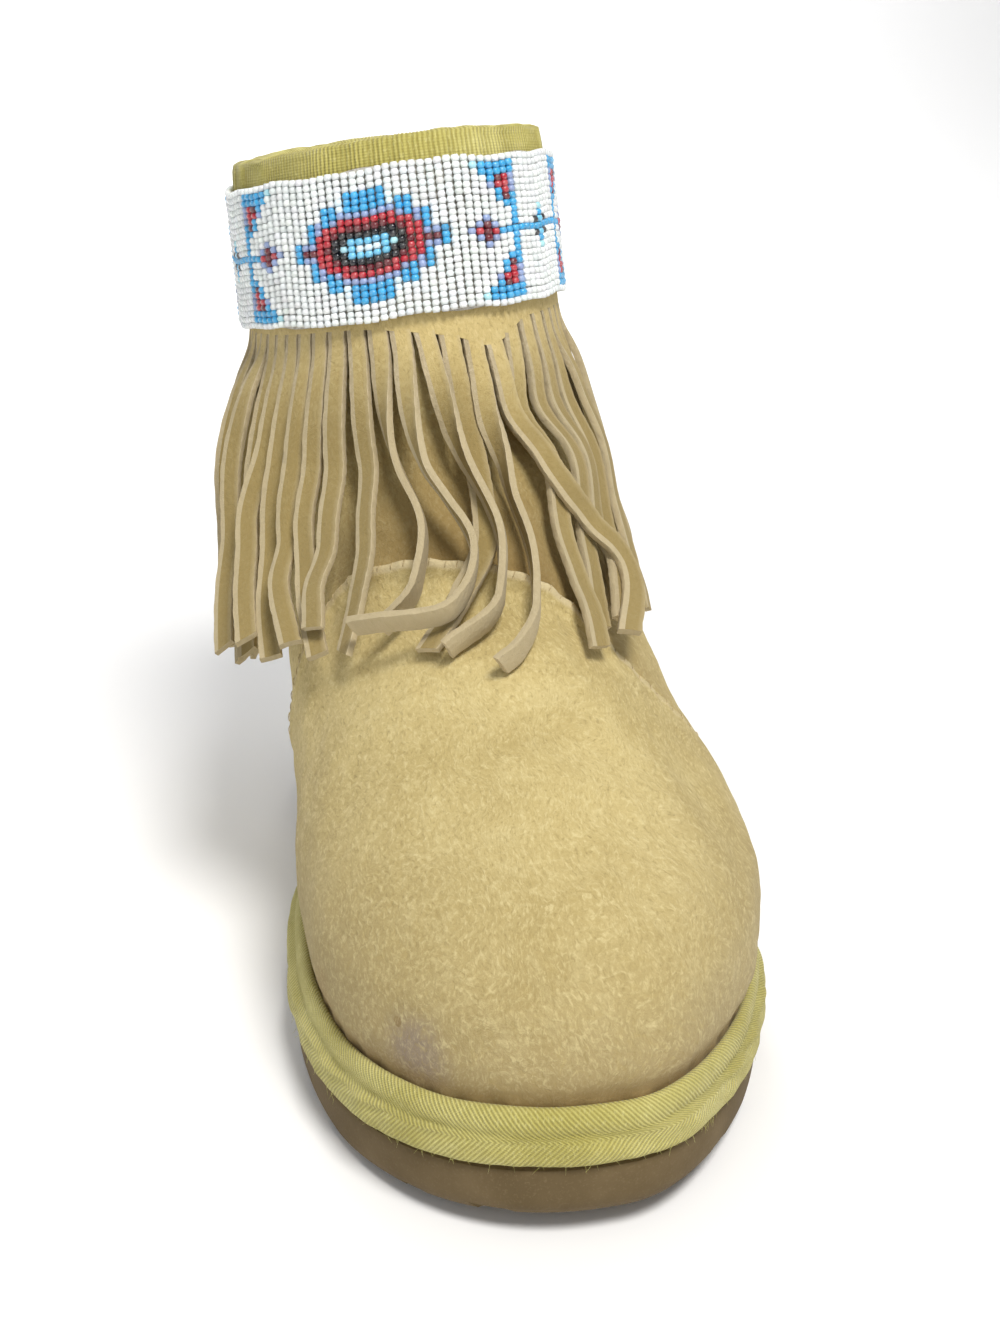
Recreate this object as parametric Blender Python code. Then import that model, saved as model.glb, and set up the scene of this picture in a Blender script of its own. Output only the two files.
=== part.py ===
# A left mukluk boot: foam sole, sheepskin upper, woven bindings, beaded band and suede fringe.
# The toe points along -Y, the outer side is at +X, and the sole stands on Z = 0.
import math

import bpy
import bmesh
import numpy as np
from mathutils import Matrix

# Sole
SOLE_LENGTH = 0.264
BALL_WIDTH = 0.110
HEEL_THICKNESS = 0.021
FORE_THICKNESS = 0.012
ARCH_RISE = 0.003
TOE_SPRING = 0.006
TOE_ROUND_INNER = 0.30
TOE_ROUND_OUTER = 0.355
HEEL_ROUND = 0.17
TOE_FULLNESS = 2.25
HEEL_FULLNESS = 2.1
SIDE_STEP = 0.0012
TREAD_PITCH = 0.0150
TREAD_GROOVE = 0.0050
TREAD_DEPTH = 0.0022
TREAD_SKEW = math.radians(9.0)
TREAD_REACH = 1.4

# Upper
BOOT_HEIGHT = 0.198
COLLAR_LENGTH = 0.106
COLLAR_WIDTH = 0.075
COLLAR_SLOPE = 0.0075
COLLAR_LEAN = 0.0068
COLLAR_DIP = 0.0024
SHAFT_LEAN = 0.006
UPPER_WALL = 0.0025
UPPER_INSET = 0.0045
UPPER_PUFF = 0.0015
PUFF_RISE = 0.46
PUFF_SKEW = 0.7
RIDGE_WIDTH = 0.0045
RIDGE_HEIGHT = 0.0016
FOLD_DEPTH = 0.0035

# Trim
TAPE_THICKNESS = 0.0012
COLLAR_TAPE_OUTSIDE = 0.0130
COLLAR_TAPE_INSIDE = 0.0110
COLLAR_TAPE_BEND = 0.0043
SOLE_TAPE_HEIGHT = 0.0135
SOLE_TAPE_OVERHANG = 0.0018
SOLE_TAPE_TURN = 0.80
SOLE_TAPE_FULL = 0.0008
BAND_DROP = 0.0050
BAND_HEIGHT = 0.0340
BAND_THICKNESS = 0.0017
INSOLE_THICKNESS = 0.0040
INSOLE_SET_BACK = 0.0008

# Fringe
STRIP_COUNT = 56
STRIP_THICKNESS = 0.0016
STRIP_LENGTH = 0.085
STRIP_BRIDGE = 0.0026
STRIP_HANG = 0.0085
STRIP_TWIST = math.radians(50.0)
LEAST_DROP = 0.2
STRIP_RAMP = 0.35
STRIP_CLEAR = 0.0009
SLIT_WIDTH = 0.0005
SLIT_DROP = 0.0090
HEADER_HEIGHT = 0.0080

# Gap left between pieces that touch
GAP = 0.0003
CURVE_GAP = 0.0005

# Mesh
COLUMNS = 56
STRIP_STEPS = 8
ROUTE_STEPS = 28
GIRTH_STEPS = 721

# Fields of grooves: which way they slant, and where they start and end along the sole
TREAD_FIELDS = (
    (1.0, 0.045, 0.460),
    (-1.0, 0.720, 0.950),
)

# Half widths of the sole either side of its axis, as shares of half the ball width
OUTLINE = {
    "along": (0.00, 0.12, 0.28, 0.40, 0.55, 0.70, 0.85, 1.00),
    "inner": (1.00, 0.99, 0.98, 0.93, 0.69, 0.60, 0.61, 0.62),
    "outer": (0.67, 0.88, 1.02, 0.98, 0.90, 0.83, 0.80, 0.78),
}

# Toe spring, arch and extra thickness along the sole, as shares of those sizes
SOLE = {
    "along": (0.00, 0.09, 0.18, 0.29, 0.40, 0.55, 0.70, 0.80, 0.93, 1.00),
    "spring": (1.00, 0.42, 0.00, 0.00, 0.00, 0.00, 0.00, 0.00, 0.00, 0.12),
    "arch": (0.00, 0.00, 0.00, 0.00, 0.30, 1.00, 0.40, 0.00, 0.00, 0.00),
    "thick": (0.00, 0.00, 0.00, 0.00, 0.10, 0.45, 0.85, 1.00, 1.00, 1.00),
}

# Side of the sole from the tread up: share of the height, and how far out in side steps
SOLE_SIDE = {
    "height": (0.00, 0.14, 0.30, 0.80, 0.88, 1.00),
    "out": (-1.60, -0.40, 0.10, 0.20, -0.90, -0.90),
}

# How far the wall has gathered in from the sole's outline to the shaft, by share of height
RISE = {
    "rise": (0.00, 0.08, 0.16, 0.22, 0.28, 0.34, 0.40, 0.46, 0.54, 0.64, 0.78, 1.00),
    "gather": (0.00, -0.02, 0.01, 0.10, 0.27, 0.45, 0.61, 0.75, 0.87, 0.95, 0.99, 1.00),
}

# Shaft: its back as a share of the sole's length, its sizes as shares of the collar's
SHAFT = {
    "rise": (0.00, 0.15, 0.30, 0.45, 0.60, 0.80, 1.00),
    "back": (0.972, 0.982, 0.972, 0.952, 0.938, 0.932, 0.930),
    "length": (1.34, 1.32, 1.27, 1.19, 1.12, 1.06, 1.00),
    "width": (0.97, 1.00, 1.08, 1.08, 1.06, 1.02, 1.00),
}

# The binding's outer face from the sole up: share of its height, and how far out of the sole's
# edge as a share of its overhang
SOLE_TAPE = {
    "height": (0.00, 0.10, 0.40),
    "out": (0.35, 1.00, 0.80),
}

# The instep seam, as a share of height: round the front and down to the sole on both sides
SEAM = {
    "turn": (0.00, 0.10, 0.20, 0.30, 0.40, 0.50, 0.60, 1.00),
    "inner": (0.49, 0.50, 0.49, 0.44, 0.33, 0.19, 0.10, 0.10),
    "outer": (0.49, 0.46, 0.40, 0.32, 0.22, 0.13, 0.10, 0.10),
    "raised": (1.00, 1.00, 0.80, 0.45, 0.35, 0.20, 0.00, 0.00),
}

# The raised seam across its width: place in seam widths, height in ridge heights
SEAM_STEP = {
    "place": (-0.80, -0.25, 0.05, 0.25),
    "height": (0.00, 1.00, 1.00, 0.00),
}

# Rows of the upper below and above the seam, as shares of each stretch
ROWS_BELOW = (0.00, 0.13, 0.28, 0.44, 0.60, 0.76, 0.90)
ROWS_ABOVE = (0.10, 0.24, 0.40, 0.60, 0.80, 1.00)

# Soft folds of the slack shaft: where, how wide and tall, and their depth in fold depths
FOLDS = {
    "turn": (0.18, 0.10, -0.12, 0.42, -0.40, 1.00),
    "rise": (0.58, 0.66, 0.60, 0.52, 0.50, 0.46),
    "wide": (0.10, 0.14, 0.14, 0.14, 0.14, 0.22),
    "tall": (0.050, 0.040, 0.040, 0.060, 0.060, 0.060),
    "out": (1.00, -0.90, -0.70, -0.60, -0.60, -0.80),
}

# Strips that hang apart from the rest, counted from the middle of the front over the outer side:
# how many strip widths they stray at shares of their length, their length as a share of the
# strip length, the layer that they lie in, and how far they turn onto their edge
STRIPS = {
    "strip": (-11, -10, -9, -8, -7, -6, -5, -4, -3, -2, -1, 0, 1, 2, 3, 4, 5, 6, 7, 8),
    "third": (-0.6, -0.9, -0.8, -0.8, -0.6, -0.5, -0.1, 0.4, 0.5, 0.7, 1.0, 0.3, 0.2, 0.7, 0.1, 0.4, 0.6, 0.7,
              0.6, 0.4),
    "middle": (-1.0, -1.6, -1.4, -1.5, -1.1, -1.0, -0.4, 0.3, 1.4, 1.8, 1.6, 0.0, 0.6, 2.6, 0.1, 0.5, 0.8, 0.9,
               0.8, 0.5),
    "low": (-1.1, -1.8, -1.2, -1.6, -1.0, -1.0, -0.8, -0.4, 0.8, 0.8, 1.1, -1.2, 0.2, 3.7, 0.4, 0.4, 0.6, 0.6,
            0.3, 0.0),
    "tip": (-0.9, -1.5, -0.6, -1.0, -0.3, -0.5, -1.0, -1.3, -0.9, -2.6, -0.9, -2.7, -1.6, 2.6, 0.4, 0.0, -0.2, -0.4,
            -0.8, -1.0),
    "long": (1.00, 1.03, 0.98, 1.04, 1.00, 1.02, 0.95, 1.03, 1.00, 1.16, 1.08, 1.02, 1.07, 1.08, 1.02, 0.99, 1.01, 0.98,
             1.00, 0.97),
    "layer": (0, 0, 0, 0, 0, 0, 1, 1, 2, 3, 2, 0, 1, 3, 0, 0, 0, 0, 1, 0),
    "twist": (0.0, 0.0, 0.0, 0.0, 0.0, 0.0, 0.0, 0.2, 0.8, 1.0, 1.0, 0.1, 1.0, 0.3, 0.0, 0.0, 0.0, 0.2, 0.0, 0.2),
}
ROUTE_SHARES = (0.0, 0.35, 0.60, 0.80, 1.0)

# The rest sway a little: how far at each of those shares, by how many strip widths, and how
# unlike their lengths are; both run round the boot as waves, in radians a strip
SWAY_SHARES = (0.0, 0.4, 0.8, 1.0, 0.7)
SWAY = 0.35
SWAY_WAVE = 2.4
UNEVEN = 0.04
UNEVEN_WAVE = 1.7

# Where the slits start below the band, as a share of the slit drop
SLITS = {
    "turn": (-1.00, -0.20, 0.00, 0.08, 0.18, 0.40, 1.00),
    "drop": (0.20, 0.15, 0.60, 1.00, 0.40, 0.30, 0.20),
}


def smooth(x, places, values):
    """A curve without overshoot through the rows of a table."""
    places = np.asarray(places, float)
    values = np.asarray(values, float)
    step = np.diff(places)
    slope = np.diff(values) / step
    tangent = np.zeros(len(places))
    for i in range(1, len(places) - 1):
        if slope[i - 1] * slope[i] > 0:
            tangent[i] = 2 * slope[i - 1] * slope[i] / (slope[i - 1] + slope[i])
    tangent[0] = slope[0]
    tangent[-1] = slope[-1]
    x = np.clip(np.asarray(x, float), places[0], places[-1])
    i = np.clip(np.searchsorted(places, x, side="right") - 1, 0, len(places) - 2)
    h = step[i]
    t = (x - places[i]) / h
    start = values[i] * (1 + 2 * t) * (1 - t) ** 2 + tangent[i] * h * t * (1 - t) ** 2
    end = values[i + 1] * t * t * (3 - 2 * t) - tangent[i + 1] * h * t * t * (1 - t)
    return start + end


def half_turn(turn):
    """Distance round from the toe (0) to the heel (1), and the side: 1 outer, -1 inner."""
    turn = (np.asarray(turn, float) + 1.0) % 2.0 - 1.0
    return np.abs(turn), np.where(turn >= 0, 1.0, -1.0)


def outline(turn):
    """Plan outline of the sole; turn runs from 0 at the toe over the outer side to 1 at the heel."""
    t, side = half_turn(turn)
    along = (1 - np.cos(math.pi * t)) / 2
    toe_round = np.where(side > 0, TOE_ROUND_OUTER, TOE_ROUND_INNER)
    toe = np.clip(1 - along / toe_round, 0, 1)
    heel = np.clip((along - 1 + HEEL_ROUND) / HEEL_ROUND, 0, 1)
    ends = (1 - toe ** TOE_FULLNESS) ** (1 / TOE_FULLNESS)
    ends = ends * (1 - heel ** HEEL_FULLNESS) ** (1 / HEEL_FULLNESS)
    outer = smooth(along, OUTLINE["along"], OUTLINE["outer"])
    inner = smooth(along, OUTLINE["along"], OUTLINE["inner"])
    half = np.where(side > 0, outer, inner) * BALL_WIDTH / 2
    return side * half * ends, (along - 0.5) * SOLE_LENGTH


def plan_normal(turn):
    """Outward direction of the outline in plan."""
    d = 1e-4
    before = outline(np.asarray(turn) - d)
    after = outline(np.asarray(turn) + d)
    tx = after[0] - before[0]
    ty = after[1] - before[1]
    size = np.hypot(tx, ty)
    return ty / size, -tx / size


def plan(turn, offset):
    x, y = outline(turn)
    nx, ny = plan_normal(turn)
    return x + offset * nx, y + offset * ny


def share_along(y):
    return y / SOLE_LENGTH + 0.5


def sole_bottom(along):
    spring = TOE_SPRING * smooth(along, SOLE["along"], SOLE["spring"])
    return spring + ARCH_RISE * smooth(along, SOLE["along"], SOLE["arch"])


def sole_top(along):
    spring = TOE_SPRING * smooth(along, SOLE["along"], SOLE["spring"])
    extra = (HEEL_THICKNESS - FORE_THICKNESS) * smooth(along, SOLE["along"], SOLE["thick"])
    return spring + FORE_THICKNESS + extra


def shaft(turn, rise):
    angle = np.asarray(turn, float) * math.pi
    back = (smooth(rise, SHAFT["rise"], SHAFT["back"]) - 0.5) * SOLE_LENGTH
    half_length = COLLAR_LENGTH / 2 * smooth(rise, SHAFT["rise"], SHAFT["length"])
    half_width = COLLAR_WIDTH / 2 * smooth(rise, SHAFT["rise"], SHAFT["width"])
    x = half_width * np.sin(angle) - SHAFT_LEAN * rise ** 2
    return x, back - half_length * (1 + np.cos(angle))


def wall(turn, rise):
    """A point of the upper's outer face, before its folds: from the sole's edge (rise 0) to
    the collar (rise 1)."""
    turn = np.asarray(turn, float)
    rise = np.asarray(rise, float)
    nx, ny = plan_normal(turn)
    fx, fy = plan(turn, -UPPER_INSET)
    sx, sy = shaft(turn, rise)
    gather = smooth(rise, RISE["rise"], RISE["gather"])
    puff = UPPER_PUFF * np.sin(math.pi * np.clip(rise / PUFF_RISE, 0, 1) ** PUFF_SKEW) ** 2
    x = fx * (1 - gather) + sx * gather + puff * nx
    y = fy * (1 - gather) + sy * gather + puff * ny
    seat = sole_top(share_along(fy)) + GAP
    front = np.cos(turn * math.pi)
    side = np.sin(turn * math.pi)
    top = BOOT_HEIGHT + COLLAR_SLOPE / 2 * front + COLLAR_LEAN / 2 * side - COLLAR_DIP * side ** 2
    return np.stack([x, y, seat + rise * (top - seat)], axis=-1)


def fold(turn, rise):
    """How far the slack wall stands out in its folds."""
    total = 0.0
    for place, height, wide, tall, out in zip(*(FOLDS[k] for k in ("turn", "rise", "wide", "tall", "out"))):
        away = (np.asarray(turn, float) - place + 1.0) % 2.0 - 1.0
        total = total + out * np.exp(-(away / wide) ** 2 - ((rise - height) / tall) ** 2)
    return total * FOLD_DEPTH


def skin_normal(turn, rise):
    d = 1e-3
    across = wall(turn + d, rise) - wall(turn - d, rise)
    up = wall(turn, np.minimum(rise + d, 1.0)) - wall(turn, np.maximum(rise - d, 0.0))
    normal = np.cross(across, up)
    return normal / np.linalg.norm(normal, axis=-1, keepdims=True)


def skin(turn, rise, offset):
    """A point that stands off the upper's outer face."""
    turn, rise, offset = np.broadcast_arrays(turn, rise, offset)
    turn = turn.astype(float)
    rise = rise.astype(float)
    out = fold(turn, rise) + offset
    return wall(turn, rise) + skin_normal(turn, rise) * out[..., None]


def rise_below_collar(turn, drop):
    """Share of height of a place that lies drop below the collar's edge."""
    top = wall(turn, 1.0)[..., 2]
    seat = wall(turn, 0.0)[..., 2]
    return 1 - np.asarray(drop) / (top - seat)


def seam_rise(turn):
    t, side = half_turn(turn)
    inner = smooth(t, SEAM["turn"], SEAM["inner"])
    return np.where(side > 0, smooth(t, SEAM["turn"], SEAM["outer"]), inner)


def material(name, colour, roughness, metallic=0.0):
    made = bpy.data.materials.new(name)
    made.use_nodes = True
    shader = made.node_tree.nodes["Principled BSDF"]
    shader.inputs["Base Color"].default_value = (*colour, 1.0)
    shader.inputs["Roughness"].default_value = roughness
    shader.inputs["Metallic"].default_value = metallic
    return made


def add_object(name, points, faces, group, look=None):
    mesh = bpy.data.meshes.new(name)
    mesh.from_pydata([tuple(float(c) for c in p) for p in points], [], faces)
    mesh.update()
    made = bpy.data.objects.new(name, mesh)
    group.objects.link(made)
    if look is not None:
        mesh.materials.append(look)
    return made


def ring_faces(rows, columns, closed):
    """Quads between rows of points that run round the boot; closed joins the last row to the first."""
    faces = []
    for r in range(rows if closed else rows - 1):
        low = r * columns
        high = ((r + 1) % rows) * columns
        for c in range(columns):
            d = (c + 1) % columns
            faces.append((low + c, low + d, high + d, high + c))
    return faces


def ladder_faces(start, columns, up):
    """Closes a ring that is alike on both sides of the boot with rungs from side to side."""
    half = columns // 2
    faces = []
    for i in range(half):
        a = start + i
        b = start + i + 1
        c = start + (columns - i - 1) % columns
        d = start + (columns - i) % columns
        corners = [a, b, c, d]
        if i == 0:
            corners = [a, b, c]
        elif i == half - 1:
            corners = [a, b, d]
        faces.append(tuple(corners) if up else tuple(reversed(corners)))
    return faces


def turns(count):
    return np.arange(count) * 2.0 / count


def build_outsole(group, cutters, look):
    around = turns(COLUMNS)
    rows = []
    for height, out in zip(SOLE_SIDE["height"], SOLE_SIDE["out"]):
        x, y = plan(around, out * SIDE_STEP)
        low = sole_bottom(share_along(y))
        high = sole_top(share_along(y))
        rows.append(np.stack([x, y, low + height * (high - low)], axis=-1))
    points = np.concatenate(rows)
    faces = ring_faces(len(rows), COLUMNS, False)
    faces += ladder_faces(0, COLUMNS, False)
    faces += ladder_faces((len(rows) - 1) * COLUMNS, COLUMNS, True)
    sole = add_object("outsole", points, faces, group, look)
    cutter = build_tread_cutter(cutters)
    cut = sole.modifiers.new("tread", "BOOLEAN")
    cut.operation = "DIFFERENCE"
    cut.solver = "EXACT"
    cut.object = cutter
    return sole


def build_tread_cutter(cutters):
    """Bars that cut the grooves across the forefoot and the heel, each as deep as the tread there."""
    cutter_mesh = bmesh.new()
    for skew, first, last in TREAD_FIELDS:
        start = (first - 0.5) * SOLE_LENGTH
        count = int((last - first) * SOLE_LENGTH / TREAD_PITCH) + 1
        for i in range(count):
            y = start + i * TREAD_PITCH
            top = float(sole_bottom(share_along(y))) + TREAD_DEPTH
            low = -HEEL_THICKNESS
            size = Matrix.Diagonal((BALL_WIDTH * TREAD_REACH, TREAD_GROOVE, top - low, 1.0))
            place = Matrix.Translation((0.0, y, (top + low) / 2)) @ Matrix.Rotation(skew * TREAD_SKEW, 4, "Z")
            bmesh.ops.create_cube(cutter_mesh, size=1.0, matrix=place @ size)
    mesh = bpy.data.meshes.new("tread_cutter")
    cutter_mesh.to_mesh(mesh)
    cutter_mesh.free()
    made = bpy.data.objects.new("tread_cutter", mesh)
    made.hide_render = True
    made.display_type = "WIRE"
    cutters.objects.link(made)
    return made


def upper_rows(around):
    """Rows of the upper from the sole up: share of height and how far out of the wall."""
    seam = seam_rise(around)
    raised = smooth(half_turn(around)[0], SEAM["turn"], SEAM["raised"])
    d = 1e-3
    speed = np.linalg.norm(wall(around, seam + d) - wall(around, seam - d), axis=-1) / (2 * d)
    rows = []
    lowest = seam + SEAM_STEP["place"][0] * RIDGE_WIDTH / speed
    for share in ROWS_BELOW:
        rows.append((lowest * share, np.zeros(len(around))))
    for place, height in zip(SEAM_STEP["place"], SEAM_STEP["height"]):
        rows.append((seam + place * RIDGE_WIDTH / speed, raised * height * RIDGE_HEIGHT))
    highest = rows[-1][0]
    for share in ROWS_ABOVE:
        rows.append((highest + (1 - highest) * share, np.zeros(len(around))))
    return rows


def build_loop(name, section, group, look):
    """A hollow ring round the boot from the rows of its section, which run up the outer face
    and down the inner one."""
    points = np.concatenate(section)
    return add_object(name, points, ring_faces(len(section), COLUMNS, True), group, look)


def build_upper(group, look):
    """The outer face carries the raised seam; the inner face lies one wall behind it, smooth."""
    around = turns(COLUMNS)
    section = [skin(around, rise, out) for rise, out in upper_rows(around)]
    seam = seam_rise(around)
    inner = [seam * share for share in ROWS_BELOW] + [seam]
    inner += [seam + (1 - seam) * share for share in ROWS_ABOVE]
    section += [skin(around, rise, -UPPER_WALL) for rise in reversed(inner)]
    return build_loop("upper", section, group, look)


def build_sole_binding(group, look):
    around = turns(COLUMNS)
    high = rise_above_sole(around, SOLE_TAPE_HEIGHT)

    section = [
        skin(around, high, CURVE_GAP),
        skin(around, high / 2, CURVE_GAP),
        skin(around, 0.0, CURVE_GAP),
    ]
    for height, out in zip(SOLE_TAPE["height"], SOLE_TAPE["out"]):
        x, y = plan(around, out * SOLE_TAPE_OVERHANG)
        seat = sole_top(share_along(y)) + GAP
        section.append(np.stack([x, y, seat + height * SOLE_TAPE_HEIGHT], axis=-1))
    section.append(skin(around, high * SOLE_TAPE_TURN, CURVE_GAP + TAPE_THICKNESS + SOLE_TAPE_FULL))
    section.append(skin(around, high, CURVE_GAP + TAPE_THICKNESS))
    return build_loop("sole_binding", section, group, look)


def rise_above_sole(turn, height):
    top = wall(turn, 1.0)[..., 2]
    seat = wall(turn, 0.0)[..., 2]
    return np.asarray(height) / (top - seat)


def build_collar_binding(group, look):
    around = turns(COLUMNS)
    outside = rise_below_collar(around, COLLAR_TAPE_OUTSIDE)
    middle = rise_below_collar(around, COLLAR_TAPE_BEND)
    inside = rise_below_collar(around, COLLAR_TAPE_INSIDE)
    inner_face = UPPER_WALL + CURVE_GAP
    up = np.array([0.0, 0.0, 1.0])
    section = [
        skin(around, outside, CURVE_GAP),
        skin(around, outside, CURVE_GAP + TAPE_THICKNESS),
        skin(around, middle, CURVE_GAP + TAPE_THICKNESS),
        skin(around, 1.0, CURVE_GAP + TAPE_THICKNESS) + up * GAP,
        skin(around, 1.0, -UPPER_WALL / 2) + up * (GAP + TAPE_THICKNESS),
        skin(around, 1.0, -inner_face - TAPE_THICKNESS) + up * GAP,
        skin(around, inside, -inner_face - TAPE_THICKNESS),
        skin(around, inside, -inner_face),
        skin(around, 1.0, -inner_face) + up * GAP,
        skin(around, 1.0, CURVE_GAP) + up * GAP,
    ]
    return build_loop("collar_binding", section, group, look)


def band_seat():
    """The band's inner face clears both the tape above and the fringe's top edge below it."""
    return CURVE_GAP + max(TAPE_THICKNESS, STRIP_THICKNESS) + CURVE_GAP


def build_bead_band(group, look):
    around = turns(COLUMNS)
    drops = [BAND_DROP + BAND_HEIGHT * share for share in (0.0, 0.5, 1.0)]
    rises = [rise_below_collar(around, drop) for drop in drops]
    section = [skin(around, rise, band_seat()) for rise in rises]
    section += [skin(around, rise, band_seat() + BAND_THICKNESS) for rise in reversed(rises)]
    return build_loop("bead_band", section, group, look)


def girth_line():
    """Turns round the band's lower edge and the length run at each."""
    fine = np.linspace(-1.0, 1.0, GIRTH_STEPS)
    line = skin(fine, rise_below_collar(fine, BAND_DROP + BAND_HEIGHT), CURVE_GAP)
    steps = np.linalg.norm(np.diff(line, axis=0), axis=1)
    return fine, np.concatenate([[0.0], np.cumsum(steps)])


def band_girth():
    return girth_line()[1][-1]


def strip_half():
    """Half the width of a strip."""
    return (band_girth() / STRIP_COUNT - SLIT_WIDTH) / 2


def strip_edges():
    """Turns of both edges of every strip: strips of equal width round the band's lower edge."""
    fine, length = girth_line()
    width = length[-1] / STRIP_COUNT
    front = np.interp(0.0, fine, length)
    middle = front + (np.arange(STRIP_COUNT) - STRIP_COUNT // 2) * width
    left = (middle - (width - SLIT_WIDTH) / 2) % length[-1]
    right = (middle + (width - SLIT_WIDTH) / 2) % length[-1]
    return np.interp(left, length, fine), np.interp(right, length, fine)


def strip_table():
    """Stray, length, layer and twist of every strip, in the order of its edges."""
    number = np.arange(STRIP_COUNT) - STRIP_COUNT // 2
    stray = np.outer(SWAY_SHARES, SWAY * np.sin(SWAY_WAVE * number))
    length = 1 + UNEVEN * np.sin(UNEVEN_WAVE * number)
    layer = np.zeros(STRIP_COUNT)
    twist = np.zeros(STRIP_COUNT)
    for i, n in enumerate(STRIPS["strip"]):
        k = n + STRIP_COUNT // 2
        stray[1:, k] = [STRIPS[name][i] for name in ("third", "middle", "low", "tip")]
        length[k] = STRIPS["long"][i]
        layer[k] = STRIPS["layer"][i]
        twist[k] = STRIPS["twist"][i]
    return stray, length * STRIP_LENGTH, layer, twist * STRIP_TWIST


def strip_routes(left, right):
    """Middle lines of the strips on the upper: turn, height share, lift and twist at each step."""
    stray, length, layer, twist = strip_table()
    wide = (right - left) % 2.0
    start = left + wide / 2
    shares = np.linspace(0.0, 1.0, ROUTE_STEPS + 1)
    away = np.stack([smooth(shares, ROUTE_SHARES, stray[:, k]) for k in range(STRIP_COUNT)], axis=1)
    turn = start + away * wide
    rise = np.zeros_like(turn)
    rise[0] = slit_rise(start)
    step = length / ROUTE_STEPS
    d = 1e-3
    for k in range(ROUTE_STEPS):
        down = np.linalg.norm(wall(turn[k], rise[k]) - wall(turn[k], rise[k] - d), axis=-1) / d
        side = np.linalg.norm(wall(turn[k] + d, rise[k]) - wall(turn[k], rise[k]), axis=-1) / d
        across = side * (turn[k + 1] - turn[k])
        rise[k + 1] = rise[k] - np.sqrt(np.maximum(step ** 2 - across ** 2, (LEAST_DROP * step) ** 2)) / down
    settle = np.clip(shares / ROUTE_SHARES[2], 0, 1)[:, None] ** 2
    twist = twist * settle
    lift = CURVE_GAP + RIDGE_HEIGHT * settle + STRIP_BRIDGE * np.sin(math.pi * shares)[:, None]
    lift = lift + STRIP_HANG * np.maximum(-np.sin(start * math.pi), 0) ** 2 * shares[:, None] ** 1.5
    lift = lift + np.sin(twist) * strip_half()
    return turn, rise, lay_over(skin(turn, rise, 0.0), lift, twist, step, layer), twist


def lay_over(middle, lift, twist, step, layer):
    """Lifts each strip over those laid before it wherever it crosses them, with gentle ramps."""
    reach = np.cos(twist) * strip_half() + np.sin(twist) * STRIP_THICKNESS
    deep = np.sin(twist) * strip_half()
    face = np.zeros_like(lift)
    order = np.lexsort((np.arange(STRIP_COUNT) % 2, layer))
    for place, i in enumerate(order):
        under = order[:place]
        for k in range(1, ROUTE_STEPS + 1):
            apart = np.linalg.norm(middle[:, under] - middle[k, i], axis=-1)
            crossed = apart < reach[:, under] + reach[k, i]
            if crossed.any():
                lift[k, i] = max(lift[k, i], face[:, under][crossed].max() + STRIP_CLEAR + deep[k, i])
        for k in range(1, ROUTE_STEPS + 1):
            lift[k, i] = max(lift[k, i], lift[k - 1, i] - STRIP_RAMP * step[i])
        for k in range(ROUTE_STEPS, 0, -1):
            lift[k - 1, i] = max(lift[k - 1, i], lift[k, i] - STRIP_RAMP * step[i])
        face[:, i] = lift[:, i] + np.cos(twist[:, i]) * STRIP_THICKNESS + deep[:, i]
    return lift


def slit_rise(turn):
    drop = BAND_DROP + BAND_HEIGHT + SLIT_DROP * smooth(signed(turn), SLITS["turn"], SLITS["drop"])
    return rise_below_collar(turn, drop)


def signed(turn):
    return (np.asarray(turn, float) + 1.0) % 2.0 - 1.0


def strip_sections(left, right):
    """Corners of each strip at its steps: inner left, inner right, outer right, outer left."""
    turn, rise, lift, twist = strip_routes(left, right)
    middle = skin(turn, rise, lift)
    along = np.gradient(middle, axis=0)
    along = along / np.linalg.norm(along, axis=-1, keepdims=True)
    out = skin_normal(turn, rise)
    across = np.cross(out, along)
    across = across / np.linalg.norm(across, axis=-1, keepdims=True)
    out = np.cross(along, across)
    cosine = np.cos(twist)[..., None]
    sine = np.sin(twist)[..., None]
    across, out = across * cosine + out * sine, out * cosine - across * sine
    half = across * strip_half()
    thick = out * STRIP_THICKNESS
    corners = [middle - half, middle + half, middle + half + thick, middle - half + thick]
    steps = np.linspace(0, ROUTE_STEPS, STRIP_STEPS + 1).round().astype(int)[1:]
    return [[corner[k] for corner in corners] for k in steps]


def build_fringe(group, look):
    left, right = strip_edges()
    edges = np.stack([left, right], axis=1).ravel()
    top = rise_below_collar(edges, BAND_DROP + BAND_HEIGHT - HEADER_HEIGHT)
    bottom = slit_rise(edges)
    outer = CURVE_GAP + STRIP_THICKNESS
    header = [
        skin(edges, bottom, CURVE_GAP),
        skin(edges, bottom, outer),
        skin(edges, top, outer),
        skin(edges, top, CURVE_GAP),
    ]
    columns = len(edges)
    faces = []
    for c in range(columns):
        d = (c + 1) % columns
        for row in (1, 2, 3):
            above = (row + 1) % 4
            faces.append((row * columns + c, row * columns + d, above * columns + d, above * columns + c))
        if c % 2:
            faces.append((c, d, columns + d, columns + c))
    points = list(np.concatenate(header))
    sections = strip_sections(left, right)
    for i in range(STRIP_COUNT):
        a = 2 * i
        b = 2 * i + 1
        above = (a, b, columns + b, columns + a)
        for corners in sections:
            first = len(points)
            points.extend(corner[i] for corner in corners)
            below = (first, first + 1, first + 2, first + 3)
            for j in range(4):
                k = (j + 1) % 4
                faces.append((above[j], above[k], below[k], below[j]))
            above = below
        faces.append(above)
    return add_object("fringe", points, faces, group, look)


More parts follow.
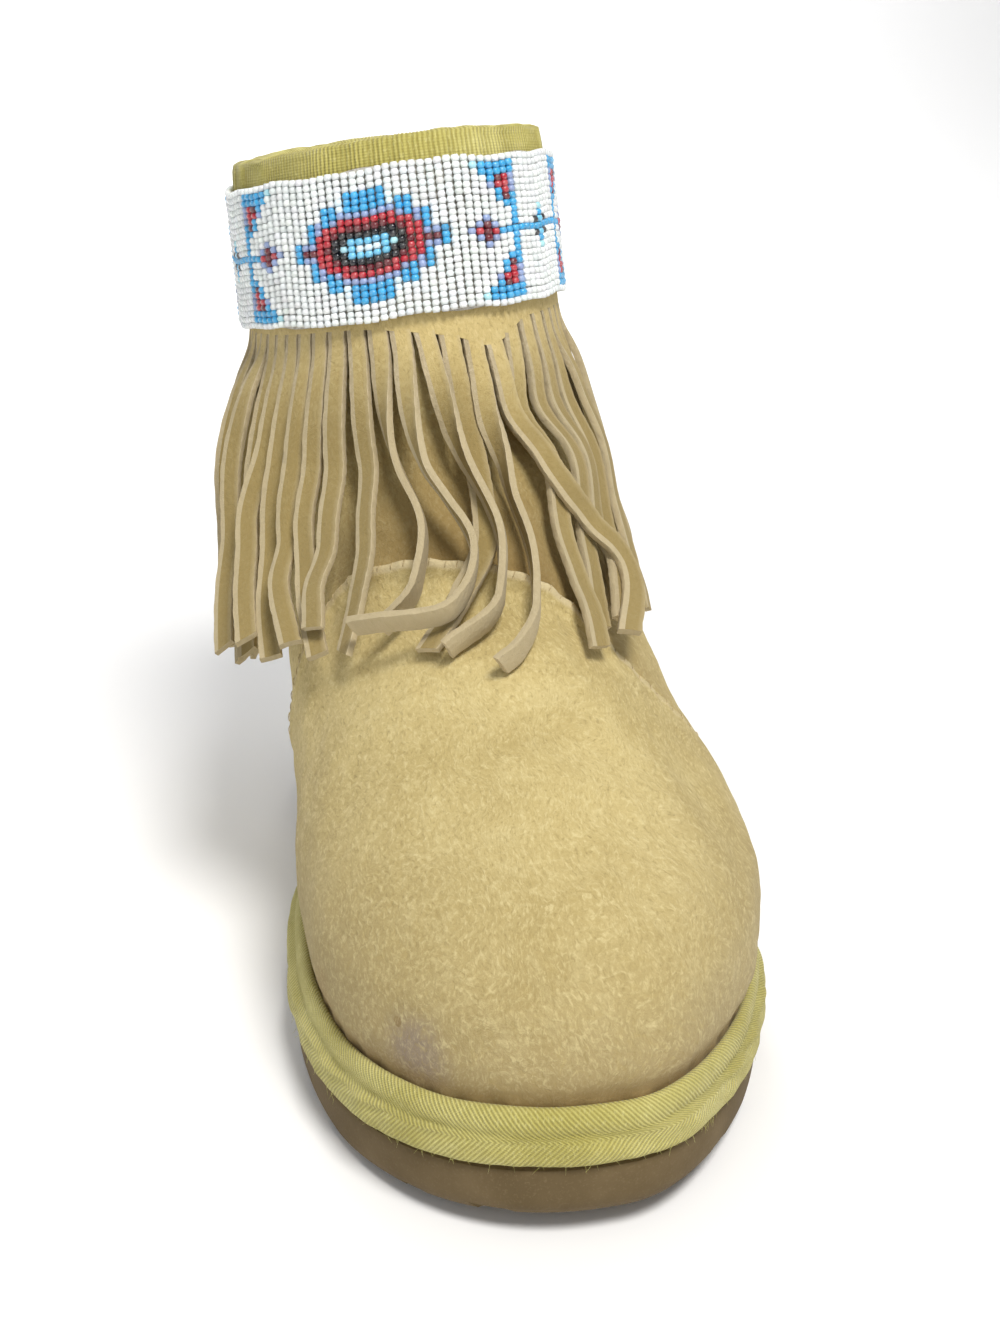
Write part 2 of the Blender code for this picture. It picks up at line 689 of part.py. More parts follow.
def build_insole(group, look):
    around = turns(COLUMNS)
    x, y = plan(around, -UPPER_INSET - UPPER_WALL - INSOLE_SET_BACK)
    low = sole_top(share_along(y)) + GAP
    section = [np.stack([x, y, low], axis=-1), np.stack([x, y, low + INSOLE_THICKNESS], axis=-1)]
    faces = ring_faces(2, COLUMNS, False)
    faces += ladder_faces(0, COLUMNS, False)
    faces += ladder_faces(COLUMNS, COLUMNS, True)
    return add_object("insole", np.concatenate(section), faces, group, look)


def stand_on_floor(things):
    """Moves everything so that the boot stands on Z = 0 with its bounding box centred on the axes."""
    corners = np.concatenate([[v.co for v in thing.data.vertices] for thing in things])
    low = corners.min(axis=0)
    high = corners.max(axis=0)
    move = (-(low[0] + high[0]) / 2, -(low[1] + high[1]) / 2, -low[2])
    for thing in bpy.data.objects:
        thing.location = move


def main():
    for thing in list(bpy.data.objects):
        bpy.data.objects.remove(thing, do_unlink=True)
    group = bpy.data.collections.new("mukluk_boot")
    cutters = bpy.data.collections.new("cutters")
    bpy.context.scene.collection.children.link(group)
    bpy.context.scene.collection.children.link(cutters)

    suede = material("suede", (0.58, 0.46, 0.24), 0.95)
    tape = material("woven_tape", (0.62, 0.60, 0.20), 0.80)
    foam = material("sole_foam", (0.20, 0.14, 0.07), 0.75)
    beads = material("glass_beads", (0.83, 0.79, 0.70), 0.25)
    wool = material("wool_felt", (0.75, 0.68, 0.52), 1.0)

    build_outsole(group, cutters, foam)
    build_upper(group, suede)
    build_insole(group, wool)
    build_sole_binding(group, tape)
    build_collar_binding(group, tape)
    build_bead_band(group, beads)
    build_fringe(group, suede)
    stand_on_floor(group.objects)


main()
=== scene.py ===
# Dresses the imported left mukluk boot: suede upper, woven tapes, loomed beads, cut fringe, wool and foam sole.
# The toe points along -Y and the outer side is at +X. "turn" runs from 0 at the toe over the outer side to 1
# at the heel and is negative on the inner side; "rise" runs from 0 at the sole's edge to 1 at the collar.
import math

import bpy
import numpy as np
from mathutils import Matrix, Vector


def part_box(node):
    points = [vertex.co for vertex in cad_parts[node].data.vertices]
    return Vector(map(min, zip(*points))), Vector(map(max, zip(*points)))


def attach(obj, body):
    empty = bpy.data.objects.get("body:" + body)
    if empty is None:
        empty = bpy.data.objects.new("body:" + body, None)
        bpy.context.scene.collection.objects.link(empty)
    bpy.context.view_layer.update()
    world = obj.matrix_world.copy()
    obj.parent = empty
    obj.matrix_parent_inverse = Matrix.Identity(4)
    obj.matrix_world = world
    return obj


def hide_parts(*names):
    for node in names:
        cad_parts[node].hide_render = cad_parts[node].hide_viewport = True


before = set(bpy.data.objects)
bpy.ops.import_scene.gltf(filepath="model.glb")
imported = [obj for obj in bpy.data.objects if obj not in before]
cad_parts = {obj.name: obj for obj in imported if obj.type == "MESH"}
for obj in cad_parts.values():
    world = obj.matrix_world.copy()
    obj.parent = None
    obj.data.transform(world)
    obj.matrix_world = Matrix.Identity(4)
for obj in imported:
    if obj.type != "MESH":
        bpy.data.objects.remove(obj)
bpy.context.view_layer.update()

# Sizes of the boot, as in its solids
sole = {
    "length": 0.264, "ballWidth": 0.110, "heelThick": 0.021, "foreThick": 0.012,
    "archRise": 0.003, "toeSpring": 0.006, "toeRoundInner": 0.30, "toeRoundOuter": 0.355,
    "heelRound": 0.17, "toeFull": 2.25, "heelFull": 2.1, "sideStep": 0.0012,
    "outline": {
        "along": (0.00, 0.12, 0.28, 0.40, 0.55, 0.70, 0.85, 1.00),
        "inner": (1.00, 0.99, 0.98, 0.93, 0.69, 0.60, 0.61, 0.62),
        "outer": (0.67, 0.88, 1.02, 0.98, 0.90, 0.83, 0.80, 0.78),
    },
    "heights": {
        "along": (0.00, 0.09, 0.18, 0.29, 0.40, 0.55, 0.70, 0.80, 0.93, 1.00),
        "spring": (1.00, 0.42, 0.00, 0.00, 0.00, 0.00, 0.00, 0.00, 0.00, 0.12),
        "arch": (0.00, 0.00, 0.00, 0.00, 0.30, 1.00, 0.40, 0.00, 0.00, 0.00),
        "thick": (0.00, 0.00, 0.00, 0.00, 0.10, 0.45, 0.85, 1.00, 1.00, 1.00),
    },
}
upper = {
    "height": 0.198, "collarLength": 0.106, "collarWidth": 0.075, "collarSlope": 0.0075,
    "collarLean": 0.0068, "collarDip": 0.0024, "shaftLean": 0.006, "wall": 0.0025, "inset": 0.0045,
    "puff": 0.0015, "puffRise": 0.46, "puffSkew": 0.7, "ridgeHeight": 0.0016, "foldDepth": 0.0035,
    "gap": 0.0003, "curveGap": 0.0005,
    "gather": {
        "rise": (0.00, 0.08, 0.16, 0.22, 0.28, 0.34, 0.40, 0.46, 0.54, 0.64, 0.78, 1.00),
        "in": (0.00, -0.02, 0.01, 0.10, 0.27, 0.45, 0.61, 0.75, 0.87, 0.95, 0.99, 1.00),
    },
    "shaft": {
        "rise": (0.00, 0.15, 0.30, 0.45, 0.60, 0.80, 1.00),
        "back": (0.972, 0.982, 0.972, 0.952, 0.938, 0.932, 0.930),
        "length": (1.34, 1.32, 1.27, 1.19, 1.12, 1.06, 1.00),
        "width": (0.97, 1.00, 1.08, 1.08, 1.06, 1.02, 1.00),
    },
    "seam": {
        "turn": (0.00, 0.10, 0.20, 0.30, 0.40, 0.50, 0.60, 1.00),
        "inner": (0.49, 0.50, 0.49, 0.44, 0.33, 0.19, 0.10, 0.10),
        "outer": (0.49, 0.46, 0.40, 0.32, 0.22, 0.13, 0.10, 0.10),
        "raised": (1.00, 1.00, 0.80, 0.45, 0.35, 0.20, 0.00, 0.00),
    },
    "folds": (  # turn, rise, how wide, how tall, how far out
        (0.18, 0.58, 0.10, 0.050, 1.00),
        (0.10, 0.66, 0.14, 0.040, -0.90),
        (-0.12, 0.60, 0.14, 0.040, -0.70),
        (0.42, 0.52, 0.14, 0.060, -0.60),
        (-0.40, 0.50, 0.14, 0.060, -0.60),
        (1.00, 0.46, 0.22, 0.060, -0.80),
    ),
}
vampSwell = {
    "turn": (-1.0, -0.55, -0.30, 0.0, 0.16, 0.28, 0.42, 0.60, 1.0),
    "out": (0.0, 0.0, 0.0010, 0.0004, 0.0020, 0.0028, 0.0022, 0.0, 0.0),
}
vampSwellUp = {
    "height": (0.0, 0.009, 0.0135, 0.022, 0.032, 0.045, 0.060, 0.2),
    "share": (0.0, 0.0, 0.25, 0.90, 1.0, 0.5, 0.0, 0.0),
}
trim = {
    "tapeThick": 0.0012, "collarOutside": 0.0130, "collarInside": 0.0110, "bandDrop": 0.0050,
    "bandHeight": 0.0340, "soleTapeHeight": 0.0135, "soleTapeOut": 0.0018, "stripThick": 0.0016,
}


def smooth(x, places, values):
    # a curve without overshoot through a table
    places = np.asarray(places, float)
    values = np.asarray(values, float)
    step = np.diff(places)
    slope = np.diff(values) / step
    tangent = np.zeros(len(places))
    for i in range(1, len(places) - 1):
        if slope[i - 1] * slope[i] > 0:
            tangent[i] = 2 * slope[i - 1] * slope[i] / (slope[i - 1] + slope[i])
    tangent[0] = slope[0]
    tangent[-1] = slope[-1]
    x = np.clip(np.asarray(x, float), places[0], places[-1])
    i = np.clip(np.searchsorted(places, x, side="right") - 1, 0, len(places) - 2)
    h = step[i]
    t = (x - places[i]) / h
    start = values[i] * (1 + 2 * t) * (1 - t) ** 2 + tangent[i] * h * t * (1 - t) ** 2
    end = values[i + 1] * t * t * (3 - 2 * t) - tangent[i + 1] * h * t * t * (1 - t)
    return start + end


def at(table, column, place):
    # a column of a table, read along the table's first column
    return smooth(place, next(iter(table.values())), table[column])


def signedTurn(turn):
    return (np.asarray(turn, float) + 1.0) % 2.0 - 1.0


def outline(turn):
    turn = signedTurn(turn)
    outerSide = turn >= 0
    along = (1 - np.cos(math.pi * np.abs(turn))) / 2
    toe = np.clip(1 - along / np.where(outerSide, sole["toeRoundOuter"], sole["toeRoundInner"]), 0, 1)
    heel = np.clip((along - 1 + sole["heelRound"]) / sole["heelRound"], 0, 1)
    ends = (1 - toe ** sole["toeFull"]) ** (1 / sole["toeFull"])
    ends = ends * (1 - heel ** sole["heelFull"]) ** (1 / sole["heelFull"])
    half = np.where(outerSide, at(sole["outline"], "outer", along), at(sole["outline"], "inner", along))
    return np.where(outerSide, 1.0, -1.0) * half * sole["ballWidth"] / 2 * ends, (along - 0.5) * sole["length"]


def planNormal(turn):
    step = np.subtract(outline(np.asarray(turn) + 1e-4), outline(np.asarray(turn) - 1e-4))
    tx, ty = step / np.hypot(*step)
    return ty, -tx


def plan(turn, offset):
    x, y = outline(turn)
    nx, ny = planNormal(turn)
    return x + offset * nx, y + offset * ny


def shareAlong(y):
    return y / sole["length"] + 0.5


def soleBottom(along):
    table = sole["heights"]
    return sole["toeSpring"] * at(table, "spring", along) + sole["archRise"] * at(table, "arch", along)


def soleTop(along):
    table = sole["heights"]
    thick = sole["foreThick"] + (sole["heelThick"] - sole["foreThick"]) * at(table, "thick", along)
    return sole["toeSpring"] * at(table, "spring", along) + thick


def shaft(turn, rise):
    table = upper["shaft"]
    angle = np.asarray(turn, float) * math.pi
    back = (at(table, "back", rise) - 0.5) * sole["length"]
    halfWidth = upper["collarWidth"] / 2 * at(table, "width", rise)
    return (halfWidth * np.sin(angle) - upper["shaftLean"] * rise ** 2,
            back - upper["collarLength"] / 2 * at(table, "length", rise) * (1 + np.cos(angle)))


def wall(turn, rise):
    turn = np.asarray(turn, float)
    rise = np.asarray(rise, float)
    nx, ny = planNormal(turn)
    fx, fy = plan(turn, -upper["inset"])
    sx, sy = shaft(turn, rise)
    gather = at(upper["gather"], "in", rise)
    swell = np.clip(rise / upper["puffRise"], 0, 1) ** upper["puffSkew"]
    puff = upper["puff"] * np.sin(math.pi * swell) ** 2
    x = fx * (1 - gather) + sx * gather + puff * nx
    y = fy * (1 - gather) + sy * gather + puff * ny
    seat = soleTop(shareAlong(fy)) + upper["gap"]
    front = np.cos(turn * math.pi)
    side = np.sin(turn * math.pi)
    top = (upper["height"] + upper["collarSlope"] / 2 * front + upper["collarLean"] / 2 * side
           - upper["collarDip"] * side ** 2)
    return np.stack([x, y, seat + rise * (top - seat)], axis=-1)


def fold(turn, rise):
    total = 0.0
    for place, height, wide, tall, out in upper["folds"]:
        away = signedTurn(turn - place)
        total = total + out * np.exp(-(away / wide) ** 2 - ((rise - height) / tall) ** 2)
    return total * upper["foldDepth"]


def skinNormal(turn, rise):
    d = 1e-3
    across = wall(turn + d, rise) - wall(turn - d, rise)
    up = wall(turn, np.minimum(rise + d, 1.0)) - wall(turn, np.maximum(rise - d, 0.0))
    normal = np.cross(across, up)
    return normal / np.linalg.norm(normal, axis=-1, keepdims=True)


def skin(turn, rise, offset):
    # a point that stands off the upper's outer face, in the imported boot's place
    turn, rise, offset = np.broadcast_arrays(turn, rise, offset)
    turn = turn.astype(float)
    rise = rise.astype(float)
    out = fold(turn, rise) + offset
    return wall(turn, rise) + skinNormal(turn, rise) * out[..., None] + packedShift


def bulge(turn, rise):
    # the stuffed vamp stands a little over the tape at its outer side
    height = np.asarray(rise) * wallHeight(turn)
    return at(vampSwell, "out", signedTurn(turn)) * at(vampSwellUp, "share", height)


def wallHeight(turn):
    return wall(turn, 1.0)[..., 2] - wall(turn, 0.0)[..., 2]


def riseBelowCollar(turn, drop):
    return 1 - np.asarray(drop) / wallHeight(turn)


def riseAboveSole(turn, height):
    return np.asarray(height) / wallHeight(turn)


def seamRise(turn):
    turn = signedTurn(turn)
    return np.where(turn > 0, at(upper["seam"], "outer", np.abs(turn)), at(upper["seam"], "inner", np.abs(turn)))


def turnsRound(count):
    return np.linspace(-1.0, 1.0, count + 1)


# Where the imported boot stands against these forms
coarse = np.arange(56) * 2.0 / 56
edgeX, edgeY = plan(coarse, 0.2 * sole["sideStep"])
lowCorner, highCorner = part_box("outsole")
packedShift = np.array([lowCorner.x - edgeX.min(), lowCorner.y - edgeY.min(), 0.0])


# Mesh helpers

def clearSelection():
    if bpy.context.mode != "OBJECT":
        bpy.ops.object.mode_set(mode="OBJECT")
    bpy.ops.object.select_all(action="DESELECT")


def pick(*pieces):
    clearSelection()
    for piece in pieces:
        piece.select_set(True)
    bpy.context.view_layer.objects.active = pieces[0]


def rename(piece, name):
    piece.name = name
    piece.data.name = name


def pointsOf(mesh):
    place = np.empty(len(mesh.vertices) * 3, np.float32)
    mesh.vertices.foreach_get("co", place)
    return place.reshape(-1, 3)


def movePoints(mesh, points):
    mesh.vertices.foreach_set("co", points.astype(np.float32).ravel())


def addMark(mesh, name, values):
    mesh.attributes.new(name, "FLOAT", "POINT").data.foreach_set("value", values.astype(np.float32))


def applyModifier(piece, kind, **settings):
    pick(piece)
    modifier = piece.modifiers.new(kind.lower(), kind)
    for setting, value in settings.items():
        setattr(modifier, setting, value)
    bpy.ops.object.modifier_apply(modifier=modifier.name)


def layGrid(name, points, uv=None, marks=None):
    # a primitive grid whose rows and columns are laid on the given points
    rows, columns = points.shape[:2]
    clearSelection()
    bpy.ops.mesh.primitive_grid_add(x_subdivisions=columns - 1, y_subdivisions=rows - 1, size=1)
    piece = bpy.context.object
    rename(piece, name)
    mesh = piece.data
    place = pointsOf(mesh)
    column = np.rint((place[:, 0] + 0.5) * (columns - 1)).astype(int)
    row = np.rint((place[:, 1] + 0.5) * (rows - 1)).astype(int)
    movePoints(mesh, points[row, column])
    if uv is not None:
        corner = np.empty(len(mesh.loops), np.int32)
        mesh.loops.foreach_get("vertex_index", corner)
        mesh.uv_layers[0].data.foreach_set("uv", uv[row[corner], column[corner]].astype(np.float32).ravel())
    for markName, values in (marks or {}).items():
        addMark(mesh, markName, values[row, column])
    mesh.update()
    return piece


def closeUp(piece, distance=2e-6, fill=False):
    # merges the meeting edges, unless the distance is 0, and turns the faces outwards
    pick(piece)
    bpy.ops.object.mode_set(mode="EDIT")
    bpy.ops.mesh.select_all(action="SELECT")
    if distance:
        bpy.ops.mesh.remove_doubles(threshold=distance)
    if fill:
        bpy.ops.mesh.select_all(action="SELECT")
        bpy.ops.mesh.fill_holes(sides=0)
        bpy.ops.mesh.select_all(action="SELECT")
    bpy.ops.mesh.normals_make_consistent(inside=False)
    bpy.ops.object.mode_set(mode="OBJECT")
    bpy.ops.object.shade_smooth()


def finishPiece(piece, looks, slotName, *nodes):
    if list(piece.data.materials) != looks:
        piece.data.materials.clear()
        for look in looks:
            piece.data.materials.append(look)
    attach(piece, "root")
    if nodes:
        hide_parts(*nodes)
    print(piece.name, "has", len(piece.data.polygons), "faces")


def ringPiece(name, section, look, slotName, *nodes, uv=None, marks=None, merge=2e-6):
    # a closed skin through rings of points
    piece = layGrid(name, np.array(section), uv, marks)
    closeUp(piece, merge)
    finishPiece(piece, [look], slotName, *nodes)


def joinPieces(pieces, name):
    pick(*pieces)
    if len(pieces) > 1:
        bpy.ops.object.join()
    rename(pieces[0], name)
    return pieces[0]


def lumps(points, seed, wave, count=7):
    # soft unevenness, about -1 to 1, the same in every run
    dice = np.random.default_rng(seed)
    total = 0.0
    for i in range(count):
        way = dice.normal(size=3)
        way = way / np.linalg.norm(way) * 2 * math.pi / (wave * dice.uniform(0.7, 1.4))
        total = total + np.sin(points @ way + dice.uniform(0, 2 * math.pi))
    return total / math.sqrt(count)


def runLength(points):
    steps = np.linalg.norm(np.diff(points, axis=0), axis=-1)
    return np.concatenate([[0.0], np.cumsum(steps)])


def ringUv(section):
    # rows of points round the boot: u runs round the boot and v across the section, in metres
    section = np.asarray(section)
    middle = section[len(section) // 2]
    across = np.concatenate([[0.0], np.cumsum(np.linalg.norm(np.diff(section, axis=0), axis=-1).mean(axis=1))])
    return np.stack(np.broadcast_arrays(runLength(middle)[None, :], across[:, None]), axis=-1)


# Shader helpers

def operator(operation, swapped=False):
    return lambda self, other=0.0: self.work(operation, other, swapped)


class Wire:
    # a socket on which plain arithmetic adds Math nodes
    def __init__(self, finish, socket):
        self.finish = finish
        self.socket = socket

    def work(self, operation, other, swapped):
        first, second = (other, self) if swapped else (self, other)
        return self.finish.add("ShaderNodeMath", {0: first, 1: second}, operation=operation)

    __add__ = __radd__ = operator("ADD")
    __sub__ = operator("SUBTRACT")
    __rsub__ = operator("SUBTRACT", swapped=True)
    __mul__ = __rmul__ = operator("MULTIPLY")
    size = operator("ABSOLUTE")
    wave = operator("SINE")

    def over(self, low, high):
        # a soft step from 0 to 1 while the value goes from low to high
        return self.finish.add("ShaderNodeMapRange", {"Value": self, "From Min": low, "From Max": high}, "Result",
                               interpolation_type="SMOOTHSTEP")


class Finish:
    # one material: a Principled shader and the nodes that feed it
    def __init__(self, name, fixed):
        self.material = bpy.data.materials.new(name)
        self.material.use_nodes = True
        self.tree = self.material.node_tree
        self.shader = self.tree.nodes["Principled BSDF"]
        for socket, value in fixed.items():
            self.shader.inputs[socket].default_value = value
        self.place = self.add("ShaderNodeTexCoord", output="Object")

    def plug(self, socket, value):
        if isinstance(value, Wire):
            self.tree.links.new(value.socket, socket)
        elif hasattr(socket.default_value, "__len__"):
            socket.default_value = (*value, 1.0)[:len(socket.default_value)]
        else:
            socket.default_value = value

    def add(self, kind, inputs=None, output=0, **settings):
        node = self.tree.nodes.new(kind)
        for setting, value in settings.items():
            setattr(node, setting, value)
        for socket, value in (inputs or {}).items():
            self.plug(node.inputs[socket], value)
        return Wire(self, node.outputs[output])

    def split(self, vector):
        first = self.add("ShaderNodeSeparateXYZ", {0: vector})
        return [Wire(self, output) for output in first.socket.node.outputs]

    def stretch(self, vector, scale, turn=(0.0, 0.0, 0.0)):
        return self.add("ShaderNodeMapping", {"Vector": vector, "Scale": scale, "Rotation": turn})

    def noise(self, scale, detail=2.0, rough=0.5, distort=0.0, vector=None):
        return self.add("ShaderNodeTexNoise", {"Vector": vector or self.place, "Scale": scale, "Detail": detail,
                                               "Roughness": rough, "Distortion": distort}, "Fac")

    def mark(self, name, output="Fac"):
        return self.add("ShaderNodeAttribute", output=output, attribute_name=name)

    def mix(self, factor, first, second):
        return self.add("ShaderNodeMix", {0: factor, 6: first, 7: second}, 2, data_type="RGBA")

    def near(self, centre, size):
        # 1 at a point and 0 beyond a distance from it
        away = self.add("ShaderNodeVectorMath", {0: self.place, 1: centre}, "Value", operation="DISTANCE")
        return away.over(size, size * 0.25)

    def close(self, colour, rough, height=None, depth=0.0, strength=1.0):
        self.plug(self.shader.inputs["Base Color"], colour)
        self.plug(self.shader.inputs["Roughness"], rough)
        if height:
            relief = {"Strength": strength, "Distance": depth, "Height": height}
            self.plug(self.shader.inputs["Normal"], self.add("ShaderNodeBump", relief))
        return self.material


def tone(r, g, b):
    # an everyday 0 to 255 colour as the shader's linear one
    return tuple((c / 255 / 12.92) if c / 255 <= 0.04045 else ((c / 255 + 0.055) / 1.055) ** 2.4 for c in (r, g, b))


# Suede

suede = {
    "base": tone(196, 178, 124), "light": tone(220, 206, 156), "shade": tone(176, 157, 104), "grey": tone(138, 121, 88),
    # the next colour is painted shade for the vamp above the instep seam and along the sole's tape, and also the ring
    # stain's colour
    "cut": tone(214, 200, 168), "worn": tone(130, 105, 62), "handled": tone(136, 118, 74), "raw": tone(186, 171, 136),
    "stains": (((-0.0363, -0.1127, 0.0353), 0.012, tone(126, 112, 112), 0.65),
               ((-0.0421, -0.1005, 0.0205), 0.015, tone(134, 116, 96), 0.60),
               ((-0.0498, -0.0762, 0.0302), 0.010, tone(150, 124, 84), 0.55),
               ((0.012, -0.122, 0.026), 0.014, tone(146, 128, 104), 0.40)),
    "ring": (-0.0387, -0.1076, 0.0408), "ringSize": 0.0019,
    "napSize": 1350.0, "napDepth": 0.00034,
}


def makeSuede(name, base, light, shade, cut, worn):
    finish = Finish(name, {"Sheen Weight": 0.12, "Sheen Roughness": 0.45, "Sheen Tint": (1.0, 0.93, 0.78, 1.0),
                           "Specular IOR Level": 0.15})
    mix, noise, near, nap = finish.mix, finish.noise, finish.near, suede["napSize"]
    x, y, z = finish.split(finish.place)
    drift = noise(35.0, 2.0, 0.5)
    patches = noise(22.0, 4.0, 0.6, 0.6)
    mottle = noise(120.0, 5.0, 0.65, 0.8)
    swirl = finish.add("ShaderNodeCombineXYZ", {0: x + drift * 0.02, 1: y + drift * 0.016, 2: z - drift * 0.02})
    streaks = noise(nap, 4.0, 0.65, 0.7, finish.stretch(swirl, (1.0, 0.45, 0.6), (0.4, 0.2, 0.7)))
    fine = noise(nap * 2.6, 2.0, 0.7)
    crinkle = noise(nap * 0.38, 3.0, 0.6, 0.9, finish.stretch(swirl, (0.6, 1.0, 0.7), (0.2, 0.5, 0.1)))
    # darker and greyer towards the bottom
    low = z.over(0.080, 0.020) * (0.45 + patches * 0.7)
    colour = mix(patches.over(0.30, 0.70), shade, base)
    colour = mix(mottle.over(0.48, 0.80) * 0.35, colour, light)
    colour = mix(low * 0.85, colour, suede["grey"])
    if name == "brushedSuede":
        for centre, size, stain, strength in suede["stains"]:
            colour = mix(near(centre, size) * (0.4 + mottle) * strength, colour, stain)
        ring = near(suede["ring"], suede["ringSize"]) - 1.6 * near(suede["ring"], suede["ringSize"] * 0.7)
        colour = mix(ring.over(0.05, 0.30) * 0.6, colour, suede["worn"])
    colour = mix(streaks.over(0.47, 0.72) * (0.58 - low * 0.25), colour, light)
    colour = mix(streaks.over(0.48, 0.26) * 0.68, colour, mix(0.40, shade, (0.12, 0.085, 0.035)))
    colour = mix(fine.over(0.60, 0.85) * 0.4, colour, light)
    colour = mix(crinkle.over(0.54, 0.74) * 0.30, colour, light)
    colour = mix(crinkle.over(0.47, 0.30) * 0.35, colour, shade)
    # painted shade on the vamp and handling wear on the fringe strips, from the marked attribute
    colour = mix(finish.mark("worn") * (0.45 + patches * 0.6), colour, worn)
    colour = mix(finish.mark("cut") * 0.85, colour, cut)
    height = streaks * 0.7 + fine * 0.35 + mottle * 0.4 + crinkle * 0.8
    return finish.close(colour, 0.92 + fine * 0.08, height, suede["napDepth"], 0.9)


vampSuede = makeSuede("brushedSuede", suede["base"], suede["light"], suede["shade"], suede["cut"], suede["worn"])
fringeSuede = makeSuede("fringeSuede", tone(200, 180, 124), tone(215, 198, 148), tone(178, 157, 103), suede["raw"],
                        suede["handled"])
edgeSuede = makeSuede("cutSuedeEdge", tone(180, 165, 134), tone(202, 189, 162), tone(152, 137, 107), suede["cut"],
                      suede["raw"])


def makeTape(name, pitch, rib):
    # cotton tape: a twill that turns at the middle of its width, or upright ribs
    finish = Finish(name, {"Sheen Weight": 0.15, "Sheen Roughness": 0.5, "Specular IOR Level": 0.2})
    woven = finish.add("ShaderNodeUVMap")
    u, v, w = finish.split(woven)
    drift = finish.noise(260.0, 2.0, 0.5)
    thread = finish.noise(1900.0, 2.0, 0.6, 0.0, finish.stretch(woven, (1.0, 0.35, 1.0)))
    faded = finish.noise(45.0, 4.0, 0.6)
    round_ = 2 * math.pi / pitch
    if rib:
        weave = (u * round_ + drift * 2.0).wave() * 0.5 + 0.5
        cross = (v * (round_ / 0.6) + drift).wave() * 0.5 + 0.5
    else:
        weave = ((u + v.size() * 0.9) * round_ + drift * 1.5).wave() * 0.5 + 0.5
        cross = ((u - v.size() * 1.6) * (round_ / 0.8) + drift).wave() * 0.5 + 0.5
    colour = finish.mix(faded.over(0.35, 0.7), tone(184, 175, 98), tone(207, 199, 127))
    colour = finish.mix(weave.over(0.10, 0.80) * 0.6 + 0.4, tone(140, 128, 62), colour)
    colour = finish.mix(thread.over(0.5, 0.8) * 0.45, colour, tone(228, 222, 158))
    return finish.close(colour, 0.86 + thread * 0.1, weave * 0.75 + cross * 0.25 + thread * 0.5, 0.00028, 0.9)


soleTwill = makeTape("twillTape", 0.00115, False)
collarRib = makeTape("ribbedTape", 0.0011, True)


def makeFoam():
    finish = Finish("brownFoam", {"Specular IOR Level": 0.25})
    speck = finish.noise(1600.0, 3.0, 0.7)
    pores = finish.add("ShaderNodeTexVoronoi", {"Vector": finish.place, "Scale": 1400.0}, "Distance")
    colour = finish.mix(finish.noise(40.0, 4.0, 0.6).over(0.35, 0.7), tone(98, 82, 54), tone(113, 96, 67))
    colour = finish.mix(speck.over(0.5, 0.75) * 0.30, colour, tone(140, 122, 92))
    return finish.close(colour, 0.72 + speck * 0.15, speck * 0.5 + pores * 0.5, 0.00012, 0.7)


def makeBeads():
    finish = Finish("glassBeads", {"Coat Weight": 0.35, "Coat Roughness": 0.12, "Specular IOR Level": 0.55})
    cloud = finish.noise(900.0, 2.0, 0.5)
    colour = finish.mix(cloud.over(0.3, 0.8) * 0.12, finish.mark("beadColour", "Color"), (0.9, 0.88, 0.82))
    return finish.close(colour, 0.18 + cloud * 0.14)


def makeThread(name, pale, dark):
    finish = Finish(name, {"Sheen Weight": 0.1})
    fuzz = finish.noise(1500.0, 2.0, 0.6)
    return finish.close(finish.mix(fuzz.over(0.3, 0.7), dark, pale), 0.85 + fuzz * 0.1, fuzz, 0.00008, 0.8)


def makeWool():
    finish = Finish("sheepWool", {"Sheen Weight": 0.4, "Sheen Roughness": 0.5, "Specular IOR Level": 0.1})
    curl = finish.noise(420.0, 4.0, 0.65, 1.5)
    fine = finish.noise(1800.0, 2.0, 0.6)
    colour = finish.mix(curl.over(0.3, 0.7), tone(188, 170, 122), tone(232, 220, 180))
    return finish.close(colour, 0.93 + fine * 0.07, curl * 0.8 + fine * 0.3, 0.0009)


brownFoam = makeFoam()
glassBeads = makeBeads()
paleThread = makeThread("paleThread", tone(208, 190, 148), tone(172, 152, 108))
beadBacking = makeThread("beadBacking", tone(196, 192, 182), tone(158, 154, 144))
looseCotton = makeThread("looseCotton", tone(206, 200, 124), tone(150, 142, 70))
sheepWool = makeWool()
print("finishes made")


# Upper: one wall with the raised instep seam, its puckers and the slack shaft's folds

